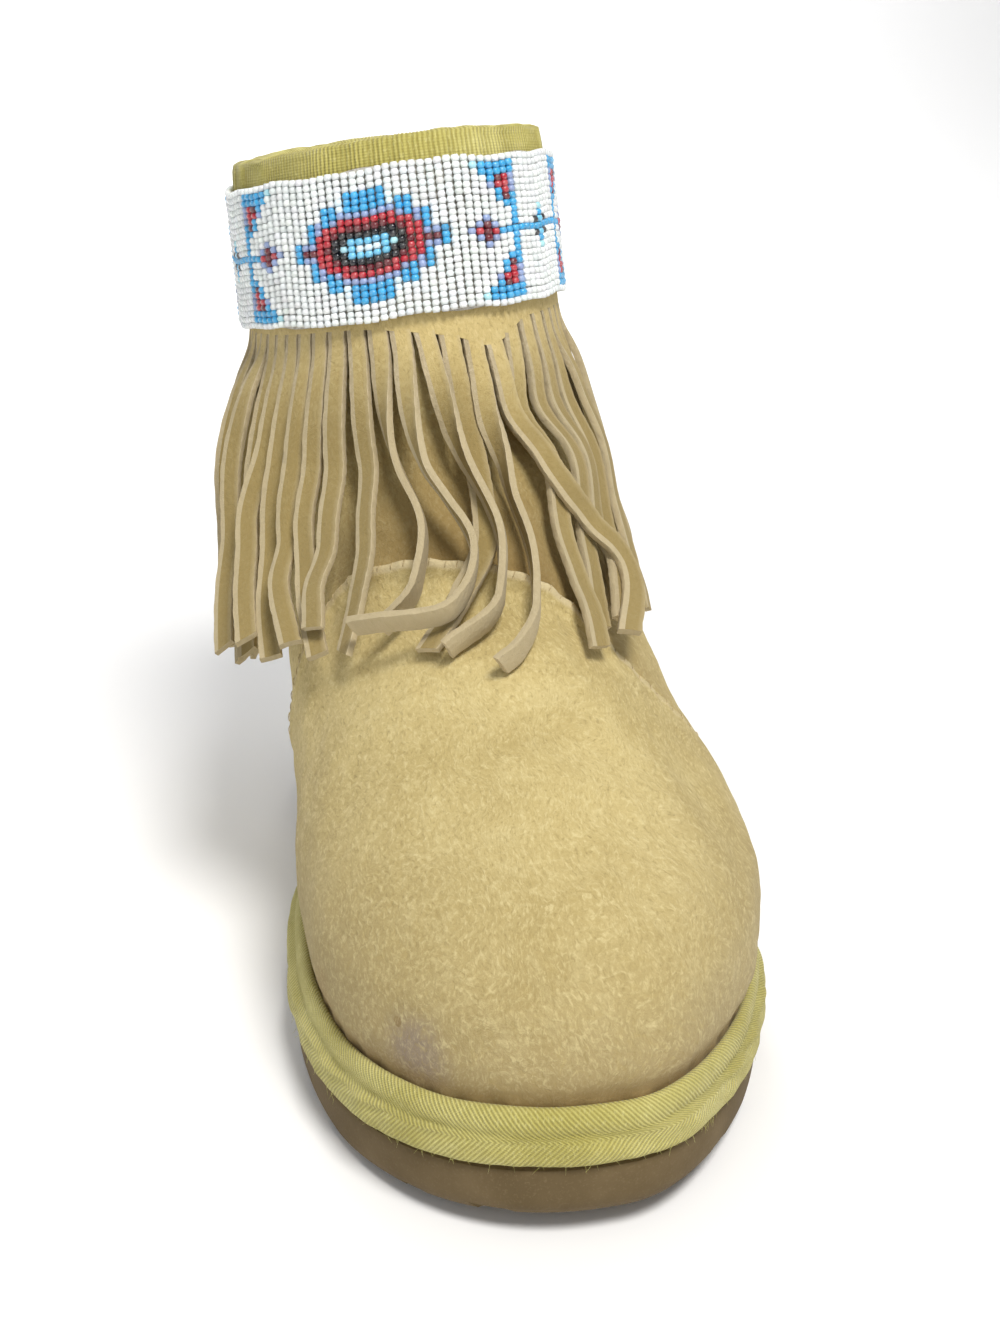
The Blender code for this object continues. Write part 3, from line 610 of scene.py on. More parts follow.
vamp = {
    "ridgeHeight": 0.0024, "columns": 300, "rowsBelow": 92, "rowsAbove": 78, "rowsInside": 34,
    "ridge": ((-0.0044, 0.00), (-0.0034, 0.12), (-0.0026, 0.36), (-0.0019, 0.66), (-0.0012, 0.90),
              (-0.0006, 1.02), (0.0000, 1.06), (0.0004, 1.00), (0.0007, 0.62), (0.0010, 0.12),
              (0.0014, -0.35), (0.0026, -0.62), (0.0048, -0.50), (0.0095, 0.00)),
    # painted shade above the seam, where the fringe hangs: how far up and how far round
    "shadeReach": 0.034, "shadeTurn": 0.30,
    "cutFrom": -0.0013, "cutTo": 0.0009, "cutPale": 0.62, "flankTurn": 0.11,
    "seamPucker": 0.00042, "seamPuckerPitch": 0.0068, "seamPuckerReach": 0.0065,
    "solePucker": 0.00028, "solePuckerPitch": 0.0082, "solePuckerReach": 0.0085,
    "solePuckerFrom": 0.012, "solePuckerRise": 0.006,
    "lumpDepth": 0.00034, "grainDepth": 0.00010, "pinch": 0.0007, "pinchAt": 0.0142, "pinchReach": 0.0026,
    # painted shadow line where the vamp meets the sole's tape: strength, height above the sole, reach
    "tapeShadeLine": 0.85, "tapeShadeLineAt": 0.0138, "tapeShadeLineReach": 0.0040,
    # the heel's seam: height, distance from its middle, half width
    "heelSeam": ((-0.0006, 0.0, 0.0010), (0.0003, 0.0026, 0.0016)),
    # creases: from turn and rise, to turn and rise, half width, depth, all lengths in metres
    "creases": (
        (0.02, 0.36, 0.16, 0.30, 0.0050, -0.00045),
        (-0.20, 0.42, -0.06, 0.38, 0.0050, -0.00040),
        (0.20, 0.34, 0.30, 0.20, 0.0060, -0.00055),
        (-0.30, 0.36, -0.36, 0.22, 0.0060, -0.00050),
        (0.10, 0.47, 0.14, 0.42, 0.0030, -0.00045),
        (0.28, 0.62, 0.34, 0.46, 0.0055, -0.00120),
        (-0.24, 0.63, -0.20, 0.54, 0.0050, -0.00090),
        (0.46, 0.40, 0.60, 0.30, 0.0065, -0.00120),
        (-0.46, 0.40, -0.62, 0.28, 0.0065, -0.00120),
        (0.80, 0.34, 1.00, 0.37, 0.0070, -0.00130),
        (-0.80, 0.34, -1.00, 0.37, 0.0070, -0.00130),
        (0.72, 0.52, 1.00, 0.56, 0.0075, -0.00110),
        (-0.72, 0.52, -1.00, 0.56, 0.0075, -0.00110),
    ),
}


def surfaceScale(turn, rise):
    d = 1e-3
    su = np.linalg.norm(wall(turn + d, rise) - wall(turn - d, rise), axis=-1) / (2 * d)
    up = wall(turn, np.minimum(rise + d, 1.0)) - wall(turn, np.maximum(rise - d, 0.0))
    sr = np.linalg.norm(up, axis=-1) / (np.minimum(rise + d, 1.0) - np.maximum(rise - d, 0.0))
    return su, sr


def pucker(run, pitch, seed, long, knots, stray):
    # waves along a seam, whose spacing wanders
    wander = np.random.default_rng(seed).uniform(-stray, stray, knots)
    return np.sin(run * 2 * math.pi / pitch + np.interp(run, np.linspace(0, long, knots), wander))


def upperRelief(turn, rise, points):
    su, sr = surfaceScale(turn, rise)
    turned = signedTurn(turn)
    aboveSeam = (rise - seamRise(turn)) * sr
    aboveSole = rise * sr
    raised = at(upper["seam"], "raised", np.abs(turned))
    flank = 1 - np.clip(turned / vamp["flankTurn"] - 1, 0, 1)
    out = np.interp(aboveSeam, *zip(*vamp["ridge"])) * raised * flank * vamp["ridgeHeight"]
    line = turnsRound(720)
    seamRun = np.interp(turned, line, runLength(wall(line, seamRise(line))))
    edgeRun = np.interp(turned, line, runLength(wall(line, 0 * line)))
    reach = vamp["seamPuckerReach"]
    fade = np.exp(np.minimum(aboveSeam, 0) / reach - np.maximum(aboveSeam, 0) / (reach * 0.7))
    out = out + pucker(seamRun, vamp["seamPuckerPitch"], 5, 0.7, 90, 1.2) * fade * vamp["seamPucker"] * raised
    out = out + bulge(turn, rise)
    out = out - vamp["pinch"] * np.exp(-((aboveSole - vamp["pinchAt"]) / vamp["pinchReach"]) ** 2)
    fade = (1 - np.clip((aboveSole - vamp["solePuckerFrom"]) / vamp["solePuckerReach"], 0, 1)) ** 2
    fade = fade * np.clip(aboveSole / vamp["solePuckerRise"], 0, 1)
    out = out + pucker(edgeRun, vamp["solePuckerPitch"], 8, 0.8, 110, 1.5) * fade * vamp["solePucker"]
    for startTurn, startRise, endTurn, endRise, wide, depth in vamp["creases"]:
        du, dr = (endTurn - startTurn) * su, (endRise - startRise) * sr
        pu, pr = signedTurn(turn - startTurn) * su, (rise - startRise) * sr
        share = np.clip((pu * du + pr * dr) / (du ** 2 + dr ** 2), 0, 1)
        away = np.hypot(pu - share * du, pr - share * dr)
        hollow = np.exp(-(away / wide) ** 2) - 0.35 * np.exp(-((away - 1.8 * wide) / wide) ** 2)
        out = out + depth * np.sin(math.pi * (0.15 + 0.7 * share)) * hollow
    fromHeel = np.abs(signedTurn(turn - 1.0)) * su
    for height, place, wide in vamp["heelSeam"]:
        out = out + height * np.exp(-((fromHeel - place) / wide) ** 2)
    settled = np.clip((aboveSole - 0.010) / 0.014, 0.1, 1)
    out = out + vamp["lumpDepth"] * lumps(points, 3, 0.034) * settled
    out = out + vamp["grainDepth"] * lumps(points, 4, 0.006, 12)
    calm = np.clip((1 - rise) * sr / 0.03, 0.25, 1)
    cut = np.where((aboveSeam > vamp["cutFrom"]) & (aboveSeam < vamp["cutTo"]), vamp["cutPale"], 0.0) * raised
    # painted shade on the shaft above the instep seam, under the fringe
    worn = np.exp(-(np.clip(aboveSeam - 0.002, 0, 1) / vamp["shadeReach"]) ** 2) * (aboveSeam > 0.0012)
    worn = worn * np.clip(1.3 - np.abs(turned) / vamp["shadeTurn"], 0, 1)
    # a painted shadow line along the top of the sole's tape
    tapeShadeLine = vamp["tapeShadeLine"] * np.exp(-((aboveSole - vamp["tapeShadeLineAt"]) / vamp["tapeShadeLineReach"]) ** 2)
    return out * calm, cut, np.clip(worn + tapeShadeLine, 0, 1)


def buildUpper():
    turn = turnsRound(vamp["columns"])
    seam = seamRise(turn)
    places = np.array([[place] for place, height in vamp["ridge"]]) / surfaceScale(turn, seam)[1]
    below = (seam + places[0]) * np.linspace(0, 1, vamp["rowsBelow"], endpoint=False)[:, None]
    highest = seam + places[-1]
    above = highest + (1 - highest) * np.linspace(0, 1, vamp["rowsAbove"] + 1)[1:, None]
    outer = np.concatenate([below, seam + places, above])
    turns = np.broadcast_to(turn, outer.shape)
    # the upper's relief, its pale seam edge and its painted shade
    relief, cut, worn = upperRelief(turns, outer, wall(turns, outer))
    face = skin(turns, outer, relief)
    rim = skin(turn, 1.0, -upper["wall"] / 2) + np.array([0.0, 0.0, 0.0004])
    inner = np.linspace(1.0, 0.0, vamp["rowsInside"])[:, None] * np.ones_like(turn)
    back = skin(np.broadcast_to(turn, inner.shape), inner, -upper["wall"])
    points = np.concatenate([face, rim[None], back, face[:1]])
    plain = np.zeros((len(points) - len(face), len(turn)))
    marks = {"cut": np.concatenate([cut, plain]), "worn": np.concatenate([worn, plain])}
    ringPiece("suedeUpper", points, vampSuede, "suede", "upper", marks=marks)


buildUpper()


# Seam threads over the instep ridge

seamThread = {
    "pitch": 0.0031, "reachBelow": 0.0015, "reachAbove": 0.0010, "radius": 0.00012, "slant": 0.0012,
    "lift": (-0.0004, 0.0001, 0.0002, 0.0002, 0.0001, -0.0004),
}


def tubePoints(line, radius, sides=6):
    # rings of points round a line
    along = np.gradient(line, axis=0)
    along = along / np.linalg.norm(along, axis=1, keepdims=True)
    side = np.cross(along, np.array([0.13, 0.21, 0.97]))
    side = side / np.linalg.norm(side, axis=1, keepdims=True)
    other = np.cross(along, side)
    angle = np.linspace(0, 2 * math.pi, sides + 1)
    radius = np.broadcast_to(radius, len(line))[:, None, None]
    return line[:, None] + radius * (side[:, None] * np.cos(angle)[None, :, None]
                                     + other[:, None] * np.sin(angle)[None, :, None])


def copyOnto(model, points):
    # a copy of a modelled tube or bar with its own mesh, laid on new rings of points
    tube, rowMark, columnMark = model
    piece = tube.copy()
    piece.data = tube.data.copy()
    bpy.context.collection.objects.link(piece)
    movePoints(piece.data, points[rowMark, columnMark])
    return piece


def takeMark(mesh, name):
    mark = mesh.attributes[name]
    values = np.empty(len(mesh.vertices), np.float32)
    mark.data.foreach_get("value", values)
    mesh.attributes.remove(mark)
    return np.rint(values).astype(int)


def modelTube(name, rows, sides):
    # a closed tube with square ends, and where each of its points lies on it
    angle = np.linspace(0, 2 * math.pi, sides + 1)[None]
    points = np.stack(np.broadcast_arrays(np.cos(angle), np.sin(angle), np.linspace(0, 1, rows)[:, None]), axis=-1)
    row, column = np.indices(points.shape[:2])
    tube = layGrid(name, points, None, {"row": row, "column": column})
    closeUp(tube, 1e-5, fill=True)
    return tube, takeMark(tube.data, "row"), takeMark(tube.data, "column")


def dropModel(model):
    mesh = model.data
    bpy.data.objects.remove(model)
    bpy.data.meshes.remove(mesh)


def buildSeamThreads():
    line = turnsRound(1440)
    line = line[np.abs(line) < 0.44]
    run = runLength(wall(line, seamRise(line)))
    dice = np.random.default_rng(11)
    model = modelTube("threadModel", 6, 6)
    made = []
    for i in range(int(run[-1] / seamThread["pitch"])):
        place = (i + 0.5 + dice.uniform(-0.12, 0.12)) * seamThread["pitch"]
        turn = np.interp(place + np.linspace(-0.5, 0.5, 6) * seamThread["slant"], run, line)
        away = np.linspace(-seamThread["reachBelow"], seamThread["reachAbove"], 6) * dice.uniform(0.9, 1.1)
        rise = seamRise(turn) + away / surfaceScale(turn, seamRise(turn))[1]
        relief = upperRelief(turn, rise, wall(turn, rise))[0]
        centre = skin(turn, rise, relief + np.array(seamThread["lift"]))
        made.append(copyOnto(model, tubePoints(centre, seamThread["radius"])))
    dropModel(model[0])
    finishPiece(joinPieces(made, "seamThreads"), [paleThread], "suede")


buildSeamThreads()


# Wool lining and insole

lining = {"columns": 220, "rows": 46, "thick": 0.0042, "lump": 0.0011, "foot": 0.0045,
          "footThick": 0.0038, "footLump": 0.0009, "footRows": 26}


def pile(where, seed, coarse, fine):
    return lumps(where, seed, coarse, 14) + 0.7 * lumps(where, seed + 1, fine, 14)


def buildLining():
    turn = turnsRound(lining["columns"])
    shares = np.linspace(0, 1, lining["rows"])[:, None]
    low = riseAboveSole(turn, lining["foot"])
    rise = low + (riseBelowCollar(turn, trim["collarInside"] + 0.001) - low) * shares
    turns = np.broadcast_to(turn, rise.shape)
    where = wall(turns, rise)
    thick = lining["thick"] + lining["lump"] * pile(where, 21, 0.006, 0.0028)
    edge = np.clip(shares / 0.03, 0, 1) * np.clip((1 - shares) / 0.04, 0.35, 1)
    inside = skin(turns, rise, -upper["wall"] - thick * edge)
    outside = skin(turns, rise, -upper["wall"] - 0.0002)
    section = np.concatenate([inside, outside[::-1], inside[:1]])
    ringPiece("woolLining", section, sheepWool, "wool_felt")


def soleGrid(turn, offset, share):
    # from the middle between two facing points of the sole's edge, share 0, to the edge, share 1
    x, y = plan(turn, offset)
    facingX, facingY = plan(-turn, offset)
    middleX, middleY = (x + facingX) / 2, (y + facingY) / 2
    return middleX + (x - middleX) * share, middleY + (y - middleY) * share


def buildInsole():
    shares = np.linspace(0, 1, lining["footRows"])[:, None]
    x, y = soleGrid(turnsRound(lining["columns"]), -upper["inset"] - upper["wall"] - 0.0010, shares)
    where = np.stack([x, y, soleTop(shareAlong(y)) + upper["gap"]], axis=-1)
    lump = lining["footLump"] * pile(where, 31, 0.007, 0.0032) * np.clip((1 - shares) / 0.06, 0, 1)
    top = where + np.array([0, 0, 1.0]) * (lining["footThick"] + lump)[..., None]
    section = np.concatenate([top, where[::-1]]) + packedShift
    ringPiece("woolInsole", section, sheepWool, "wool_felt", "insole", merge=1e-5)


buildLining()
buildInsole()


# Foam outsole

tread = {"pitch": 0.0150, "groove": 0.0050, "depth": 0.0022, "skew": math.radians(9.0), "reach": 1.4,
         "fields": ((1.0, 0.045, 0.460), (-1.0, 0.720, 0.950)), "columns": 360}
soleSide = {
    "height": (0.00, 0.05, 0.10, 0.14, 0.22, 0.30, 0.42, 0.55, 0.68, 0.80, 0.88, 0.92, 0.945, 0.97, 1.00),
    "out": (-1.60, -1.15, -0.70, -0.40, -0.08, 0.10, 0.18, 0.22, 0.22, 0.17, 0.08, -0.10, -0.60, -0.90, -0.90),
}


def soleRing(turn, out, share, height):
    x, y = soleGrid(turn, out * sole["sideStep"], share)
    low = soleBottom(shareAlong(y))
    return np.stack([x, y, low + height * (soleTop(shareAlong(y)) - low)], axis=-1)


def buildOutsole():
    turn = turnsRound(tread["columns"])
    outs = soleSide["out"]
    rings = [soleRing(turn, outs[0], share, 0.0) for share in np.linspace(0, 1, 14, endpoint=False)]
    rings += [soleRing(turn, out, 1.0, height) for height, out in zip(soleSide["height"], outs)]
    rings += [soleRing(turn, outs[-1], share, 1.0) for share in np.linspace(1, 0, 9)[1:]]
    piece = layGrid("foamOutsole", np.array(rings) + packedShift)
    closeUp(piece, 2e-5)
    bars = []
    for skew, first, last in tread["fields"]:
        for i in range(int((last - first) * sole["length"] / tread["pitch"]) + 1):
            y = (first - 0.5) * sole["length"] + i * tread["pitch"]
            top = float(soleBottom(shareAlong(y))) + tread["depth"]
            clearSelection()
            bpy.ops.mesh.primitive_cube_add(size=1, location=(packedShift[0], packedShift[1] + y, top / 2 - 0.01),
                                            rotation=(0, 0, skew * tread["skew"]))
            bars.append(bpy.context.object)
            bars[-1].scale = (sole["ballWidth"] * tread["reach"], tread["groove"], top + 0.02)
            bpy.ops.object.transform_apply(location=True, rotation=True, scale=True)
    cutter = joinPieces(bars, "treadCutter")
    applyModifier(piece, "BOOLEAN", operation="DIFFERENCE", solver="EXACT", object=cutter)
    dropModel(cutter)
    pick(piece)
    bpy.ops.object.shade_smooth_by_angle(angle=math.radians(32))
    finishPiece(piece, [brownFoam], "sole_foam", "outsole")


buildOutsole()


# Twill tape round the sole's edge

soleTape = {
    "columns": 620, "slackHeight": 0.00035,
    "height": (0.00, 0.06, 0.14, 0.24, 0.34, 0.40, 0.44, 0.50),
    "out": (0.55, 0.86, 1.02, 1.04, 0.99, 0.89, 0.87, 0.93), "crease": 6,
    "turnIn": (0.60, 0.70, 0.79, 0.87, 0.94, 0.985, 1.01),
    "full": (0.0013, 0.0015, 0.0014, 0.0009, 0.0003, -0.0004, -0.0011),
    "foldDepth": 0.00042,
    # stretch folds: where, over how much of a turn, pitch in metres and slant
    "folds": ((0.21, 0.10, 0.0170, 4.6), (-0.25, 0.11, 0.0160, -4.6), (0.04, 0.10, 0.0240, 3.0),
              (-0.60, 0.12, 0.0200, -3.0), (0.60, 0.12, 0.0200, 3.0), (1.00, 0.14, 0.0150, 1.5)),
}


def tapeFolds(turn, run, across):
    return soleTape["foldDepth"] * sum(
        np.sin((run + slant * across) * 2 * math.pi / pitch) * np.exp(-(signedTurn(turn - place) / wide) ** 2)
        for place, wide, pitch, slant in soleTape["folds"])


def tapeSlack(where):
    return 0.0003 * lumps(where, 41, 0.02) + 0.00012 * lumps(where, 42, 0.006)


def buildSoleTape():
    turn = turnsRound(soleTape["columns"])
    tall = trim["soleTapeHeight"]
    high = riseAboveSole(turn, tall)
    hidden = [skin(turn, high * share, bulge(turn, high * share) - 0.0008 * share) for share in (1.0, 0.6, 0.25, 0.0)]
    edge = np.stack([*plan(turn, 0.0), 0 * turn], axis=-1)
    run = runLength(edge)
    shown = []
    for height, out in zip(soleTape["height"], soleTape["out"]):
        out = out * trim["soleTapeOut"]
        ripple = tapeFolds(turn, run, height * tall) * min(1.0, height / 0.22)
        where = np.stack([*plan(turn, out), soleTop(shareAlong(edge[:, 1])) + height * tall], axis=-1)
        x, y = plan(turn, out + ripple + tapeSlack(where))
        shown.append(np.stack([x, y, soleTop(shareAlong(y)) + upper["gap"] + height * tall], axis=-1) + packedShift)
    for share, full in zip(soleTape["turnIn"], soleTape["full"]):
        where = wall(turn, high * share)
        ripple = tapeFolds(turn, run, share * tall) * (1.1 - share) * 2.0
        rise = high * share + riseAboveSole(turn, soleTape["slackHeight"] * lumps(where, 43, 0.018) * share ** 3)
        off = upper["curveGap"] + trim["tapeThick"] + full + bulge(turn, rise)
        shown.append(skin(turn, rise, off + (ripple + tapeSlack(where)) * (1.1 - share)))
    section = hidden + shown + hidden[:1]
    woven = ringUv(section)
    woven[..., 1] -= woven[len(hidden) + soleTape["crease"], 0, 1]
    piece = layGrid("soleTwillTape", np.array(section), woven)
    closeUp(piece)
    applyModifier(piece, "SUBSURF", levels=1, render_levels=1)
    finishPiece(piece, [soleTwill], "woven_tape", "sole_binding")


buildSoleTape()


# Ribbed tape folded over the collar

collarTape = {"pitch": 0.00105, "perRib": 4, "ribDepth": 0.00011, "puff": 0.0006}


def buildCollarTape():
    girth = runLength(wall(turnsRound(720), np.ones(721)))[-1]
    ribs = int(round(girth / collarTape["pitch"]))
    turn = turnsRound(ribs * collarTape["perRib"])
    rib = np.cos(turn * math.pi * ribs) * collarTape["ribDepth"]
    gap, thick, off = upper["gap"], trim["tapeThick"], upper["curveGap"]
    inner = upper["wall"] + off
    outside = riseBelowCollar(turn, trim["collarOutside"])
    inside = riseBelowCollar(turn, trim["collarInside"])
    where = wall(turn, np.ones_like(turn))
    slack = 0.00035 * lumps(where, 51, 0.02) + 0.00015 * lumps(where, 52, 0.007)

    def ring(low, share, offset, lift=0.0):
        return skin(turn, low + (1 - low) * share, offset) + np.array([0, 0, 1.0]) * np.expand_dims(lift, -1)

    section = []
    for share in (0.0, 0.35, 0.60, 0.78, 0.90, 0.97):
        puff = collarTape["puff"] * math.sin(math.pi * share) * 0.8 + slack * share
        section.append(ring(outside, share, off + thick + puff + rib))
    for offset, lift in ((0.85, 0.35), (0.25, 0.85), (-0.5, 1.0), (-1.25, 0.85), (-1.85, 0.35)):
        reach = (off - inner) / 2 + ((off + inner) / 2 + thick) * max(-1.0, min(1.0, (offset + 0.5) / 1.35))
        section.append(ring(1.0, 1.0, reach, gap + thick * lift + 0.0003 + rib * lift + slack * 0.6))
    section += [ring(inside, share, -inner - thick - rib) for share in (0.92, 0.7, 0.4, 0.0)]
    section += [ring(inside, share, -inner, gap * share) for share in (0.0, 0.5, 1.0)]
    section += [ring(outside, share, off, gap * share) for share in (1.0, 0.5, 0.0)]
    section.append(section[0])
    ringPiece("collarRibTape", section, collarRib, "woven_tape", "collar_binding", uv=ringUv(section))


buildCollarTape()


# Loomed beads: one barrel bead, arrayed into the strip, then laid round the shaft

beads = {
    "columns": 138, "rows": 23, "sides": 7, "tall": 0.96, "deep": 0.0020, "seed": 61,
    "period": 46,
    "backing": 0.0003,
    # places of the motif round the band: column from the middle of the eye, turn there
    "anchors": ((-23.0, -0.470), (-9.5, -0.260), (0.0, -0.121), (9.5, 0.019), (23.0, 0.229)),
    "colours": {
        ".": tone(233, 238, 238), "w": tone(222, 242, 250), "b": tone(112, 196, 234), "p": tone(172, 226, 238),
        "B": tone(50, 166, 222), "K": tone(14, 18, 30), "R": tone(186, 30, 50), "D": tone(104, 16, 34),
        "L": tone(140, 160, 204),
    },
    # rows from the middle of the band outwards, columns from the middle of the eye to that of the diamond
    "chart": (
        "wwbpKDRDDB..LRDRBBBBBBBB",
        "bbbKKRRLLB...LDL..B...Kb",
        "KKKKDRRB......L...B....B",
        "DDDRRRLB..........B....p",
        "RRRRLBLB.........BB.....",
        "LLLLBB..........BDB.....",
        "BBBwBB..........BRL.....",
        "BBBw...........LRRL.....",
        "BBB............BDRL.....",
        "..............BBBBB.....",
        ".............pBBBBB.....",
        "........................",
    ),
}


def bandSeat():
    return upper["curveGap"] * 2 + max(trim["tapeThick"], trim["stripThick"])


def onBand(turn, drop, out):
    return skin(turn, riseBelowCollar(turn, drop), bandSeat() + out)


def beadPlaces(columns):
    # turn of each bead column, from the measured places in front and evenly round the back
    known, turn = np.array(beads["anchors"]).T
    line = turnsRound(1440)
    run = runLength(onBand(line, trim["bandDrop"] + trim["bandHeight"] / 2, 0.0))
    girth = run[-1]
    arcs = np.interp(turn, line, run)
    half = beads["columns"] / 2
    perBack = (arcs[0] + girth - arcs[-1]) / (known[0] + 2 * half - known[-1])
    arcs = np.concatenate([[arcs[0] - perBack * (half + known[0])], arcs, [arcs[-1] + perBack * (half - known[-1])]])
    return np.interp(smooth(columns, np.concatenate([[-half], known, [half]]), arcs) % girth, run, line)


def buildBeads():
    columns, rows, total = beads["columns"], beads["rows"], beads["columns"] * beads["rows"]
    clearSelection()
    bpy.ops.mesh.primitive_cylinder_add(vertices=beads["sides"], radius=0.5, depth=1.0, end_fill_type="NGON",
                                        location=(0, 0, 0))
    bead = bpy.context.object
    rename(bead, "loomedBeads")
    bpy.ops.object.mode_set(mode="EDIT")
    bpy.ops.mesh.select_all(action="SELECT")
    bpy.ops.mesh.bisect(plane_co=(0, 0, 0), plane_no=(0, 0, 1))
    bpy.ops.object.mode_set(mode="OBJECT")
    for corner in bead.data.vertices:
        shrink = 0.74 if abs(corner.co.z) > 0.4 else 1.0
        corner.co.x *= shrink
        corner.co.y *= shrink
    for step, count in (((2, 0, 0), columns), ((0, 0, 2), rows)):
        applyModifier(bead, "ARRAY", use_relative_offset=False, use_constant_offset=True,
                      constant_offset_displace=step, count=count)
    mesh = bead.data
    place = pointsOf(mesh)
    column = np.rint(place[:, 0] / 2.0)
    row = np.rint(place[:, 2] / 2.0)
    number = (row * columns + column).astype(int)
    dice = np.random.default_rng(beads["seed"])
    size = dice.normal(1.0, 0.035, (total, 3))[number]
    nudge = dice.normal(0.0, 0.022, (total, 2))[number]
    tilt = dice.normal(0.0, 0.05, total)[number]
    rowNudge = np.random.default_rng(63).normal(0.0, 0.00002, rows)[row.astype(int)]
    x, y, z = ((place - np.stack([column * 2, 0 * column, row * 2], axis=1)) * size).T
    x, z = x * np.cos(tilt) - z * np.sin(tilt), x * np.sin(tilt) + z * np.cos(tilt)
    pitch = trim["bandHeight"] / rows
    slackEdge = 0.00035 * np.sin(column * 0.31) + 0.00022 * np.sin(column * 0.83 + 1.0)
    drop = (trim["bandDrop"] + (rows - 0.5 - row - z * beads["tall"] + nudge[:, 1]) * pitch + slackEdge + rowNudge)
    out = beads["backing"] + beads["deep"] * (0.5 * size[:, 1] - y)
    movePoints(mesh, onBand(beadPlaces(column - columns / 2 + x + nudge[:, 0]), drop, out))
    apart = beads["period"] / 2
    fromEye = np.abs((np.arange(columns) - columns / 2 + apart) % beads["period"] - apart).astype(int)
    fromMiddle = np.abs(np.arange(rows) - rows // 2)
    shade = np.array([[beads["colours"][beads["chart"][r][c]] for c in fromEye] for r in fromMiddle])
    shade = shade.reshape(-1, 3) * dice.normal(1.0, 0.055, total)[:, None]
    shade = np.clip(shade * (1 + dice.normal(0.0, 0.012, (total, 3))), 0, 1)
    paint = mesh.color_attributes.new("beadColour", "FLOAT_COLOR", "POINT")
    rgba = np.concatenate([shade[number], np.ones((len(number), 1))], axis=1)
    paint.data.foreach_set("color", rgba.astype(np.float32).ravel())
    closeUp(bead, 0.0)
    finishPiece(bead, [glassBeads], "glass_beads", "bead_band")


def buildBacking():
    turn = turnsRound(260)
    edge = 0.00035 * np.sin(turn * 20.5) + 0.0002 * np.sin(turn * 61.0)
    section = []
    for share, off, trimmed in ((0.0, 0.0, 0.0002), (0.0, 0.00085, 0.0002), (0.35, 0.0004, -0.0002),
                                (0.65, 0.0004, -0.0002), (1.0, 0.00085, -0.0002), (1.0, 0.0, -0.0002),
                                (0.65, 0.0, -0.0002), (0.35, 0.0, -0.0002)):
        section.append(onBand(turn, trim["bandDrop"] + share * trim["bandHeight"] + edge + trimmed, off))
    ringPiece("beadWarp", section + section[:1], beadBacking, "glass_beads")


buildBeads()
buildBacking()


# Fringe: a header with its cut strips, each strip laid over those under it

fringe = {
    "count": 56, "thick": 0.0016, "length": 0.085, "bridge": 0.0026, "hang": 0.0085, "leastDrop": 0.2,
    "twist": math.radians(95.0), "solidTwist": math.radians(66.0), "turnedBy": 0.48, "ramp": 0.35, "clear": 0.0004,
    "slitWidth": 0.0005, "slitDrop": 0.0090, "headerHeight": 0.0080, "steps": 56, "blend": 0.17, "broad": 1.10,
    "root": 0.0014, "rim": 0.55, "handled": 0.28,
    "shares": (0.0, 0.35, 0.60, 0.80, 1.0),
    "swayShares": (0.0, 0.4, 0.8, 1.0, 0.7), "sway": 0.35, "swayWave": 2.4, "uneven": 0.04, "unevenWave": 1.7,
    "slitTurn": (-1.00, -0.20, 0.00, 0.08, 0.18, 0.40, 1.00),
    "slitDown": (0.20, 0.15, 0.60, 1.00, 0.40, 0.30, 0.20),
    # strip, stray at a third, the middle, low down and the tip, length, layer, how far it turns on edge
    "strips": (
        (-14, -0.3, -0.5, -0.6, -0.4, 1.01, 0, -0.5), (-13, -0.4, -0.7, -0.8, -0.6, 0.97, 1, -0.5),
        (-12, -0.5, -0.9, -1.0, -0.8, 1.02, 0, -0.5), (-11, -0.6, -1.0, -1.1, -0.9, 1.00, 1, -0.5),
        (-10, -0.9, -1.6, -1.8, -1.5, 1.03, 0, -0.55), (-9, -0.8, -1.4, -1.2, -0.6, 0.98, 1, -0.55),
        (-8, -0.8, -1.5, -1.6, -1.0, 1.04, 0, -0.5), (-7, -0.6, -1.1, -1.0, -0.3, 1.00, 1, -0.4),
        (-6, -0.5, -1.0, -1.0, -0.5, 1.02, 0, -0.25),
        (-5, -0.3, -0.6, -1.0, -1.2, 0.95, 1, -0.1), (-4, 0.2, 0.1, -0.6, -1.5, 1.03, 1, 0.15),
        (-3, 0.5, 1.4, 0.8, -0.9, 1.00, 2, 0.92), (-2, 0.7, 1.8, 0.8, -2.6, 1.16, 3, 0.98),
        (-1, 1.0, 1.6, 1.1, -0.9, 1.08, 2, 1.02), (0, 0.3, 0.0, -1.2, -2.7, 1.02, 0, 0.1),
        (1, 0.2, 0.6, 0.2, -1.6, 1.07, 1, 1.12), (2, 0.7, 2.6, 3.7, 2.6, 1.08, 3, 0.25),
        (3, 0.1, 0.1, 0.4, 0.4, 1.02, 0, 0.0), (4, 0.4, 0.5, 0.4, 0.0, 0.99, 0, 0.0),
        (5, 0.6, 0.8, 0.6, -0.2, 1.01, 0, 0.0), (6, 0.7, 0.9, 0.6, -0.4, 0.98, 0, 0.2),
        (7, 0.6, 0.8, 0.3, -0.8, 1.00, 1, 0.0), (8, 0.4, 0.5, 0.0, -1.0, 0.97, 0, 0.2),
    ),
}


